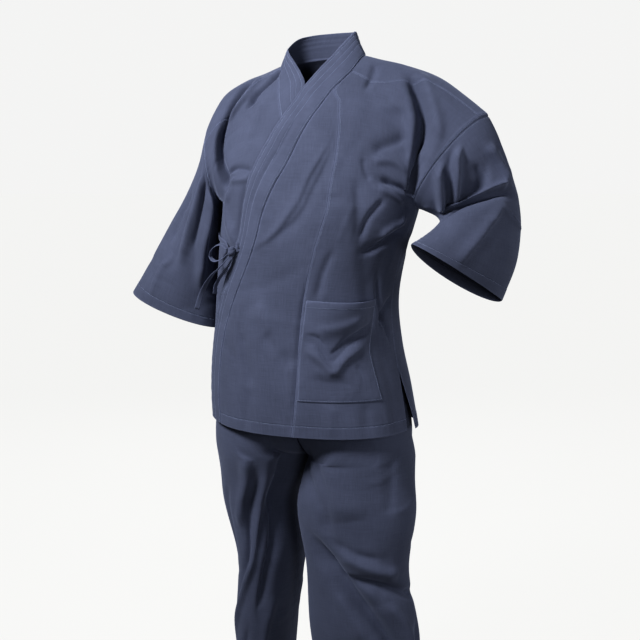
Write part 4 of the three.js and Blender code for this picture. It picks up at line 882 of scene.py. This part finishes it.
def band_chest(tab, t, w, corner, climb, fade):
    """Points of the band on one side of the chest: lying on the shell, standing near the neck."""
    seam_s, low_t, low_s = (at(tab, "t", k, t)[:, None] for k in ("seam", "edgeT", "edge"))
    s, level = lerp(seam_s, low_s, w), lerp(t[:, None], low_t, w)
    lying = over(s, level) if tab is BAND_LEFT else body(s, level)
    seam = lying[:, :1]
    standing = seam + (neck_edge(corner + climb)[:, None] - seam)*w[..., None]
    return lerp(standing, lying, step(*fade, t)[:, None, None])

def band_panel(name, along, across):
    w = spaced(BAND_WIDE, across, BAND_LINES, BAND_EDGE_LINES)/BAND_WIDE
    ruled = lambda seam, edge: seam[:, None] + (edge - seam)[:, None]*w[..., None]
    end, past_end = np.array([0, 1.2, 3])/SKIRT, 2 - 4/SKIRT
    left = np.concatenate([np.linspace(2, 0.5, along), np.linspace(0.5, LEFT_TOP, 40)[1:]])
    left = np.concatenate([2 - end, left[left < past_end]])
    right = np.concatenate([np.linspace(RIGHT_TOP, 0.4, 34), np.linspace(0.4, 2, along + 10)[1:]])
    right = np.concatenate([right[right < past_end], 2 - end[::-1]])
    up = LEFT_TOP*np.linspace(1, 0, 12)[1:]
    down = RIGHT_TOP*np.linspace(1, 0, 12)[1:][::-1][1:]
    c = np.linspace(NECK_SHARE, -NECK_SHARE, 70)[1:]
    points = np.concatenate([
        band_chest(BAND_LEFT, left, w, 0.4, (left - LEFT_TOP)*0.6, (0.24, 0.44)),
        ruled(body(at(BAND_LEFT, "t", "seam", up), up), neck_edge(NECK_SHARE + up*0.25)),
        ruled(shell(c, 0.0001, -1), neck_edge(c)),
        ruled(body(right_inner(down), down), neck_edge(-NECK_SHARE - down*0.25)),
        band_chest(BAND_RIGHT, right, w, -0.355, (right - RIGHT_TOP)*-0.4, (0.1, 0.34))])
    run, wide = lengths(points.swapaxes(0, 1)).swapaxes(0, 1), lengths(points)
    other = wide[:, -1:] - wide
    near, ends = np.minimum(wide, other), np.minimum(run, run[-1:] - run)
    edge = np.minimum(near, ends)
    quilt = 0.5*np.sin(run/47 + 2*w)*np.sin(run/29)
    for row in SEWN_ROWS[1:]:
        quilt = quilt + 0.55 - 0.75*np.exp(-((w*BAND_WIDE - row)/2.4)**2)
    share = np.linspace(0, 1, len(points))[:, None] + 0*w
    creases = crease_height(BAND_CREASES, share, w, np.array([BAND_LONG, BAND_WIDE]))
    wave = (pucker(near, run, 0.3, 0.3, 14) + creases)*step(0, 3, near) + quilt*step(0, 4, edge)
    points = points + grid_normals(points)*wave[..., None]
    half = rounded(np.minimum(np.minimum(other, ends)/2.6, wide/1.4), 0.86)
    print("band", round(float(run[-1].mean())*MM, 2), "m long")
    return panel(name, points, half, np.stack([wide, run], -1)*MM, edge, points - np.array([0, 60.0, -400]),
                 cotton_band, near)

collar = band_panel("collar_cloth", 150, 14)

# %% [markdown]
# ## The pocket
# A patch pocket sits low on the left front. Its mouth gapes and its cloth sags across the middle,
# so its lift off the front is worked out from where its edges are sewn down.

# %% The pocket
POCKET = table("t left right", [1.4, 0.165, 0.758], [1.52, 0.142, 0.715], [1.61, 0.12, 0.665],
               [1.7, 0.1, 0.675], [1.84, 0.07, 0.71])
POCKET_CREASES = [
    (-15, 9, 6, [(0.15, 1.56), (0.26, 1.575), (0.335, 1.645), (0.48, 1.57), (0.69, 1.51)]),
    (8, 7, 12, [(0.15, 1.61), (0.25, 1.655), (0.34, 1.71), (0.45, 1.65), (0.6, 1.6)]),
    (5, 12, 9, [(0.24, 1.53), (0.4, 1.52), (0.6, 1.48)]),
    (-4, 6, 9, [(0.17, 1.76), (0.305, 1.772), (0.47, 1.775)]),
    (-3, 6, 6, [(0.52, 1.68), (0.57, 1.74), (0.55, 1.8)]),
    (3, 8, 8, [(0.2, 1.7), (0.3, 1.72), (0.42, 1.71)]),
]

POCKET_TOP, POCKET_LOW, POCKET_SEAM, POCKET_SCALE = 1.4, 1.84, 3.6, 262
POCKET_LINES = (0, 1.2, 2.8, POCKET_SEAM, 4.4)

def pocket_panel(name, cols, rows):
    t = np.concatenate([POCKET_TOP + np.array([0, 0.8, 2, 12.8, 14, 15.2])/SKIRT,
                        np.linspace(POCKET_TOP + 17/SKIRT, POCKET_LOW - 6/SKIRT, rows),
                        POCKET_LOW - np.array(POCKET_LINES)[::-1]/SKIRT])
    left, right = at(POCKET, "t", "left", t), at(POCKET, "t", "right", t)
    width = (right - left)*POCKET_SCALE
    across = spaced(width, cols, POCKET_LINES, POCKET_LINES).T
    u = across/width
    s, t = lerp(left, right, u), t + 0*u
    low, top = (POCKET_LOW - t)*SKIRT, (t - POCKET_TOP)*SKIRT
    near = np.minimum(np.minimum(across, width - across), low)
    gape = 24*np.sin(np.pi*u)**1.2*(1 - step(POCKET_TOP, 1.62, t))
    rise = np.clip((POCKET_LOW - t)/(POCKET_LOW - POCKET_TOP), 0, 1)
    belly = 8*np.sin(np.pi*u)**0.7*np.sin(np.pi*rise*0.5)**0.8
    shape = crease_height(POCKET_CREASES, s, t, BODY_SCALE)*step(3, 14, near)
    lift = np.maximum(2.0 + gape + belly + shape, 2.0 + 0.15*np.clip(near, 0, 8))
    along = s*BODY_SCALE[0] + t*BODY_SCALE[1]
    points = over(s, t, lift + pucker(np.abs(near - POCKET_SEAM), along, 1.1, 0.35, 8)*step(0, 3, near))
    edge = np.minimum(near, top)
    half = rounded(edge/2.2) + 0.4*(1 - step(14, 15.2, top))*step(0, 1.5, top)
    return panel(name, points, half, flat_cut(s - 1, t), edge, points - BEHIND, cotton_pocket, near)

pocket = pocket_panel("pocket_cloth", 62, 58)

# %% [markdown]
# ## Trousers
# Each leg is one panel that closes along the inner seam, and above the crotch both panels meet in
# the middle plane. The jacket hides them above its hem, so the creases are kept for the legs.

# %% Trouser tables
PELVIS = table("z mid ratio left right cy front back",
    [-818, -16, 1.0157, 110, 101.5, -4, 114, 112], [-780, -17, 0.74, 124, 119.2, -2, 122, 118],
    [-720, -18, 0.4, 150, 145.2, 0, 127, 124], [-640, -19, 0.141, 172, 169, 2, 124, 122],
    [-560, -20, 0.036, 168, 168, 2, 118, 116], [-460, -20, 0, 150, 150, 2, 112, 108])
LEGS = {1: table("z cx cy a front back",
            [-1410, 128, -16, 108, 78, 74], [-1260, 117, -22, 114, 80, 74], [-1180, 108, -25, 116, 80, 74],
            [-1050, 94, -30, 109, 82, 76], [-920, 92, -30, 127, 90, 84], [-860, 93, -18, 118, 98, 96],
            [-818, 95.7, -4, 110, 114, 112]),
        -1: table("z cx cy a front back",
            [-1410, -139, 22, 52, 110, 108], [-1260, -131, 24, 53, 114, 112], [-1180, -127, 24, 56, 116, 114],
            [-1050, -119, 22, 61, 118, 116], [-920, -138, 18, 77, 116, 114], [-860, -126, 8, 93, 114, 112],
            [-818, -119.1, -4, 101.5, 114, 112])}
CROTCH, WAIST_TOP, WAIST_LOW, TROUSER_HEM = -818, -468, -504, -1404
LEG_SCALE = np.array([1.0, 560.0])
LEG_CREASES = {1: [
    (-5, 8, 12, [(803, 0.15), (881, 0.203), (966, 0.21)]),
    (-4, 8, 14, [(785, 0.04), (858, 0.138), (925, 0.205)]),
    (-26, 14, 20, [(975, 0.14), (1047, 0.228), (1106, 0.292), (1173, 0.352), (1245, 0.395)]),
    (-15, 8, 13, [(1050, 0.25), (1062, 0.355), (1085, 0.46), (1098, 0.55)]),
    (11, 12, 14, [(995, 0.235), (1025, 0.315), (1048, 0.43)]),
    (9, 13, 12, [(1100, 0.37), (1150, 0.42), (1210, 0.45)]),
    (11, 34, 40, [(790, 0.14), (850, 0.22), (930, 0.27)]),
    (-4, 9, 12, [(790, 0.39), (860, 0.385), (925, 0.375)]),
    (-4, 8, 10, [(975, 0.22), (1001, 0.29), (1010, 0.36)]),
    (5, 12, 12, [(1085, 0.22), (1138, 0.262), (1190, 0.28)]),
    (-5, 8, 14, [(1180, 0.2), (1240, 0.25), (1330, 0.26)]),
    (-6, 10, 12, [(1150, 0.5), (1220, 0.46), (1300, 0.47)]),
    (-9, 10, 14, [(1020, 0.62), (1045, 0.72), (1030, 0.84)]),
    (-7, 9, 12, [(1090, 0.64), (1110, 0.74), (1090, 0.86)]),
    (6, 10, 12, [(1055, 0.66), (1078, 0.74), (1060, 0.83)]),
    (-7, 12, 14, [(800, 0.93), (860, 0.84), (900, 0.74)]),
    (-5, 12, 16, [(1180, 0.76), (1270, 0.74), (1370, 0.76)]),
    (4, 16, 16, [(880, 0.66), (960, 0.68), (1030, 0.67)]),
], -1: [
    (11, 14, 9, [(805, 0.25), (891, 0.242), (975, 0.27)]),
    (9, 10, 8, [(830, 0.18), (913, 0.168), (985, 0.203), (1095, 0.28), (1228, 0.38)]),
    (-14, 12, 14, [(780, 0.09), (836, 0.125), (895, 0.12), (960, 0.12)]),
    (-10, 34, 28, [(800, 0.07), (870, 0.09), (950, 0.1)]),
    (-12, 9, 16, [(930, 0.1), (1000, 0.13), (1060, 0.17), (1150, 0.2)]),
    (-9, 9, 9, [(850, 0.215), (916, 0.21), (1000, 0.24), (1080, 0.31)]),
    (5, 14, 12, [(1120, 0.12), (1210, 0.16), (1300, 0.17)]),
    (-6, 10, 14, [(1190, 0.25), (1260, 0.28), (1350, 0.28)]),
    (-5, 10, 12, [(880, 0.33), (960, 0.35), (1040, 0.37)]),
    (-9, 10, 14, [(1010, 0.62), (1040, 0.72), (1030, 0.84)]),
    (-7, 9, 12, [(1085, 0.64), (1105, 0.74), (1090, 0.86)]),
    (6, 10, 12, [(1050, 0.66), (1072, 0.74), (1060, 0.83)]),
    (-7, 12, 14, [(800, 0.93), (860, 0.84), (900, 0.74)]),
    (-5, 12, 16, [(1180, 0.76), (1270, 0.74), (1370, 0.76)]),
]}

def leg(side, z, turn):
    """Rings of a trouser leg. Turn 0 and 1 are its inner seam, or the middle seam above the crotch."""
    z, turn = np.broadcast_arrays(np.asarray(z, float), np.asarray(turn, float))
    high, tab = z >= CROTCH, LEGS[side]
    pick = lambda key: np.where(high, at(PELVIS, "z", key, z), at(tab, "z", key, z))
    mid, wide = at(PELVIS, "z", "mid", z), at(PELVIS, "z", "left" if side > 0 else "right", z)
    cx = np.where(high, mid + side*at(PELVIS, "z", "ratio", z)*wide, at(tab, "z", "cx", z))
    a = np.where(high, wide, at(tab, "z", "a", z))
    apart = 1.1*step(-700, -790, z)
    end = np.arccos(np.clip(np.where(high, (side*(mid - cx) + apart)/a, -1), -1, 1))
    angle = lerp(-end, end, turn)
    depth = np.where(np.sin(angle) < 0, pick("front"), pick("back"))
    return np.stack([cx + side*a*np.cos(angle), pick("cy") + depth*np.sin(angle), z], -1)

# %% The two legs
def leg_panel(name, side, cols, seed):
    hem = TROUSER_HEM + np.array(HEM_ROWS)[::-1]
    levels = np.concatenate([WAIST_LOW - np.array([0, 1, 3]), np.linspace(WAIST_LOW - 12, -700, 16),
                             np.linspace(-700, hem[0], 172)[1:-1], hem])
    turn, z = np.meshgrid(spaced(LEG_SCALE[1], cols)[0]/LEG_SCALE[1], levels, indexing="ij")
    seam = np.minimum(turn, 1 - turn)*LEG_SCALE[1]
    top, low, along = WAIST_LOW - z, z - TROUSER_HEM, turn*LEG_SCALE[1]
    rows = LEG_CREASES[side] + small_creases(seed, 34, (790, 1380), (0.06, 0.94), LEG_SCALE, 1.8)
    sway = 2.0*np.sin(8*turn - z/150)*np.sin(z/110 + 6*turn)
    fade = step(0, 0.05, turn)*step(0, 0.05, 1 - turn)*step(-700, -770, z)
    height = fade*(crease_height(rows, -z, turn, LEG_SCALE) + sway)
    wave = (pucker(seam, z, 1.2) + hem_pucker(low, along, 0.4))*step(0, 4, seam)
    gather = 2.0*np.sin(turn*140 + np.sin(turn*31))*(1 - step(0, 60, top))*step(0, 8, seam)
    plain = leg(side, z, turn)
    out = plain - plain.mean(axis=0, keepdims=True)
    n = grid_normals(plain)
    n = n*np.sign(np.median((out*n).sum(-1)))
    points = plain + n*(height + wave + gather)[..., None]
    edge = np.minimum(seam, np.minimum(top, low))
    uv = np.stack([along, z], -1)*MM
    return panel(name, points, cloth_half(edge, low), uv, edge, out, cotton, low)

leg_left = leg_panel("leg_left_cloth", 1, 144, 21)
leg_right = leg_panel("leg_right_cloth", -1, 144, 22)

# %% The gathered waistband
def waist_panel(name):
    across = [0, 0.03, 0.08, 0.12, 0.2, 0.35, 0.5, 0.65, 0.8, 0.88, 0.92, 0.97, 1]
    u, z = np.meshgrid(np.linspace(0, 1, 361), lerp(WAIST_TOP, WAIST_LOW, np.array(across)), indexing="ij")
    turn = np.where(u <= 0.5, u*2, 2 - u*2)
    points = np.where((u <= 0.5)[..., None], leg(1, z, turn), leg(-1, z, turn))
    way = (points - points.mean(axis=(0, 1)))*np.array([1, 1, 0])
    edge = np.minimum(WAIST_TOP - z, z - WAIST_LOW)
    gather = 1.6*np.sin(u*250 + 2*np.sin(u*37))*step(0, 6, edge)*(0.7 + 0.3*np.sin(u*23))
    points = points + unit(way)*gather[..., None]
    uv = np.stack([u*0.83, z*MM], -1)
    return panel(name, points, rounded(edge/2.6, 1.18), uv, edge, way, cotton_band, edge)

waistband = waist_panel("waistband_cloth")

# %% [markdown]
# ## Stitches
# Hems, band, pocket and armholes are sewn with a slightly paler thread. A row of stitches repeats
# one small form along a line, which is work for Geometry Nodes: the line is cut at the stitch
# pitch, and a stitch laid along it at each cut. The lines follow the panels' own grid lines.

# %% A tree that lays stitches along lines
STITCH = {"Pitch": 0.0032, "Stitch length": 0.0023, "Thread width": 0.0007}
FINE, COARSE = 0.0005, 0.0009

def stitch_tree():
    tree = bpy.data.node_groups.new("stitches_along_lines", "GeometryNodeTree")
    face = tree.interface
    face.new_socket("Lines", in_out="INPUT", socket_type="NodeSocketGeometry")
    for label, value in STITCH.items():
        face.new_socket(label, in_out="INPUT", socket_type="NodeSocketFloat").default_value = value
    face.new_socket("Thread", in_out="INPUT", socket_type="NodeSocketMaterial")
    face.new_socket("Stitches", in_out="OUTPUT", socket_type="NodeSocketGeometry")
    given = tree.nodes.new("NodeGroupInput").outputs
    cut = {0: given["Lines"], "Length": given["Pitch"]}
    cuts = node(tree, "GeometryNodeCurveToPoints", cut, mode="LENGTH")
    half_width = calc(tree, "MULTIPLY", given["Thread width"], 0.5)
    half_length = calc(tree, "MULTIPLY", given["Stitch length"], 0.5)
    size = node(tree, "ShaderNodeCombineXYZ", {0: half_width, 1: half_width, 2: half_length})
    ball = node(tree, "GeometryNodeMeshUVSphere", {"Segments": 6, "Rings": 4})
    shaped = node(tree, "GeometryNodeTransform", {0: ball.outputs["Mesh"], "Scale": size.outputs[0]})
    turned = node(tree, "FunctionNodeAlignRotationToVector", {"Vector": cuts.outputs["Tangent"]}, axis="Z")
    laid = node(tree, "GeometryNodeInstanceOnPoints", {
        "Points": cuts.outputs["Points"], "Instance": shaped.outputs[0], "Rotation": turned.outputs[0]})
    real = node(tree, "GeometryNodeRealizeInstances", {0: laid.outputs[0]})
    coloured = node(tree, "GeometryNodeSetMaterial", {0: real.outputs[0], "Material": given["Thread"]})
    node(tree, "NodeGroupOutput", {0: coloured.outputs[0]})
    return tree

stitches = stitch_tree()
SOCKETS = {item.name: item.identifier for item in stitches.interface.items_tree if item.in_out == "INPUT"}

# %% Sewing along lines
def sew(name, lines, width=STITCH["Thread width"]):
    """One mesh of stitches along lines of points in mm."""
    curve = bpy.data.curves.new(name + "_lines", "CURVE")
    curve.dimensions = "3D"
    for line in lines:
        spline = curve.splines.new("POLY")
        spline.points.add(len(line) - 1)
        spline.points.foreach_set("co", np.c_[line*MM, np.ones(len(line))].astype(np.float32).ravel())
    drawn = add_object(name + "_lines", curve)
    modifier = drawn.modifiers.new("stitches", "NODES")
    modifier.node_group = stitches
    for label, value in {**STITCH, "Thread width": width, "Thread": thread}.items():
        modifier[SOCKETS[label]] = value
    drawn.update_tag()
    mesh = bpy.data.meshes.new_from_object(drawn.evaluated_get(bpy.context.evaluated_depsgraph_get()))
    mesh.name = name
    mesh.shade_smooth()
    made = add_object(name, mesh)
    bpy.data.objects.remove(drawn)
    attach(made, "root")
    print(name, len(lines), "lines,", len(mesh.polygons), "faces")
    return made

def hem_row(name):
    """The grid line that lies on a hem's seam, counted back from the panel's last line."""
    return outer_face[name][2:-2, -1 - HEM_ROWS.index(HEM_LINE)]

# %% All rows of stitches
sleeves = ("sleeve_left_cloth", "sleeve_right_cloth")
jacket = ("left_front_cloth", "right_front_cloth", "left_overlap_cloth", "jacket_back_cloth", *sleeves)
sew("stitches_hems", [hem_row(n) for n in jacket])
legs = ("leg_left_cloth", "leg_right_cloth")
sew("stitches_trouser_hems", [hem_row(n) for n in legs])
armhole_lines = [outer_face[n][2:-2, k] for n in sleeves for k in (3, 6)]
sew("stitches_armholes", armhole_lines, FINE)
front = outer_face["left_front_cloth"]
seam_lines = [front[3:-3, 3], outer_face["right_front_cloth"][3:-3, 3], front[3, 12:-2]]
sew("stitches_seams", seam_lines, FINE)
band = outer_face["collar_cloth"]
from_seam = lengths(band[len(band)//2][None])[0]
from_seam = from_seam*BAND_WIDE/from_seam[-1]
band_lines = [band[3:-3, int(np.argmin(np.abs(from_seam - row)))] for row in SEWN_ROWS]
band_sewing = sew("stitches_band", band_lines, COARSE)
patch = outer_face["pocket_cloth"]
pocket_lines = [patch[2, 1:-3], patch[-3, 1:-3], patch[2:-2, -3], patch[1:-1, 4]]
pocket_sewing = sew("stitches_pocket", pocket_lines)

# %% [markdown]
# ## What each piece is
# Every piece rides on the part's one body and takes its solid's place. The list gives the size to
# which each would be cut.

# %% Riding and replacing
CLOTHS = [
    (left_front, "left_front", "cotton", (0.30, 0.78), 0.175, "hung", [jacket_back], []),
    (right_front, "right_front", "cotton", (0.42, 0.78), 0.22, "hung", [jacket_back], []),
    (left_overlap, "left_overlap", "cotton", (0.19, 0.72), 0.1, "hung", [left_front, right_front], []),
    (jacket_back, "jacket_back", "cotton", (0.66, 0.80), 0.48, "hung", [waistband], []),
    (sleeve_left, "sleeve_left", "cotton", (0.54, 0.31), None, "hung", [jacket_back, left_front], []),
    (sleeve_right, "sleeve_right", "cotton", (0.54, 0.31), None, "hung", [jacket_back, right_front], []),
    (collar, "collar", "band", (0.058, 2.05), None, "folded", [left_front, right_front], [band_sewing]),
    (pocket, "pocket", "cotton", (0.18, 0.21), None, "hung", [left_front], [pocket_sewing]),
    (leg_left, "leg_left", "cotton", (0.62, 0.93), 0.54, "hung", [waistband], []),
    (leg_right, "leg_right", "cotton", (0.62, 0.93), 0.51, "hung", [waistband], []),
    (waistband, "waistband", "band", (0.036, 0.83), None, "gathered", [leg_left, leg_right], []),
]
for piece, node_name, slot_name, flat, area, held, rests, extra in CLOTHS:
    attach(piece, "root")
    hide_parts(node_name)
print(len(CLOTHS), "sheets of cloth")

# %% [markdown]
# ## Floor and light
# A studio with a pale floor and a pale surround. The key is a broad softbox in front, to the
# jacket's right and above. A weaker one fills from its left, one stands at its left side and one
# behind. The floor glows of its own, so that it stays even, and sends no light up into the folds.

# %% Floor
def studio_floor(radius=40, level=-1.406, corners=96):
    material, tree, shader = new_material("floor_paint")
    grain = mapped_noise(tree, node(tree, "ShaderNodeTexCoord").outputs["Object"], (1, 1, 1), 1.5, 3)
    set_inputs(tree, shader, {
        "Base Color": colour_ramp(tree, grain, (0, (0.012,)*3), (1, (0.018,)*3)), "Roughness": 0.9,
        "Specular IOR Level": 0.1, "Emission Color": (1, 1, 0.99, 1), "Emission Strength": 0.636})
    mesh = bpy.data.meshes.new("floor")
    angles = np.linspace(0, 2*math.pi, corners + 1)[:-1]
    ring = [(radius*math.cos(a), radius*math.sin(a), level) for a in angles]
    mesh.from_pydata(ring, [], [tuple(range(corners))])
    mesh.materials.append(material)
    floor = add_object("floor", mesh)
    floor.visible_diffuse = False

studio_floor()

# %% Light
def softbox(name, azimuth, elevation, distance, size, power, aim=(0, 0, -0.3), spread=180):
    data = bpy.data.lights.new(name, "AREA")
    data.shape, data.size, data.energy, data.spread = "DISK", size, power, math.radians(spread)
    lamp = add_object(name, data)
    way = direction(math.radians(azimuth), math.radians(elevation))
    lamp.rotation_euler = (-way).to_track_quat("-Z", "Y").to_euler()
    lamp.location = Vector(aim) + way*distance
    return lamp

softbox("key", -27, 35, 2.7, 0.9, 22.5, aim=(-0.05, 0, -0.2), spread=80)
softbox("fill", 38, 0, 2.6, 0.9, 15)
back = softbox("back", 205, 22, 3.4, 2.2, 78)
side = softbox("side", 94, 8, 3.4, 1.6, 27)
back.visible_camera = side.visible_camera = False

world = bpy.data.worlds.new("studio")
bpy.context.scene.world = world
world.use_nodes = True
tree = world.node_tree
seen_by_camera = node(tree, "ShaderNodeLightPath").outputs["Is Camera Ray"]
set_inputs(tree, tree.nodes["Background"], {
    "Strength": remap(tree, seen_by_camera, 0, 1, 0.07, 0.65), "Color": (0.985, 0.985, 0.98, 1)})
bpy.context.scene.view_settings.view_transform = "Standard"
bpy.context.scene.view_settings.look = "High Contrast"
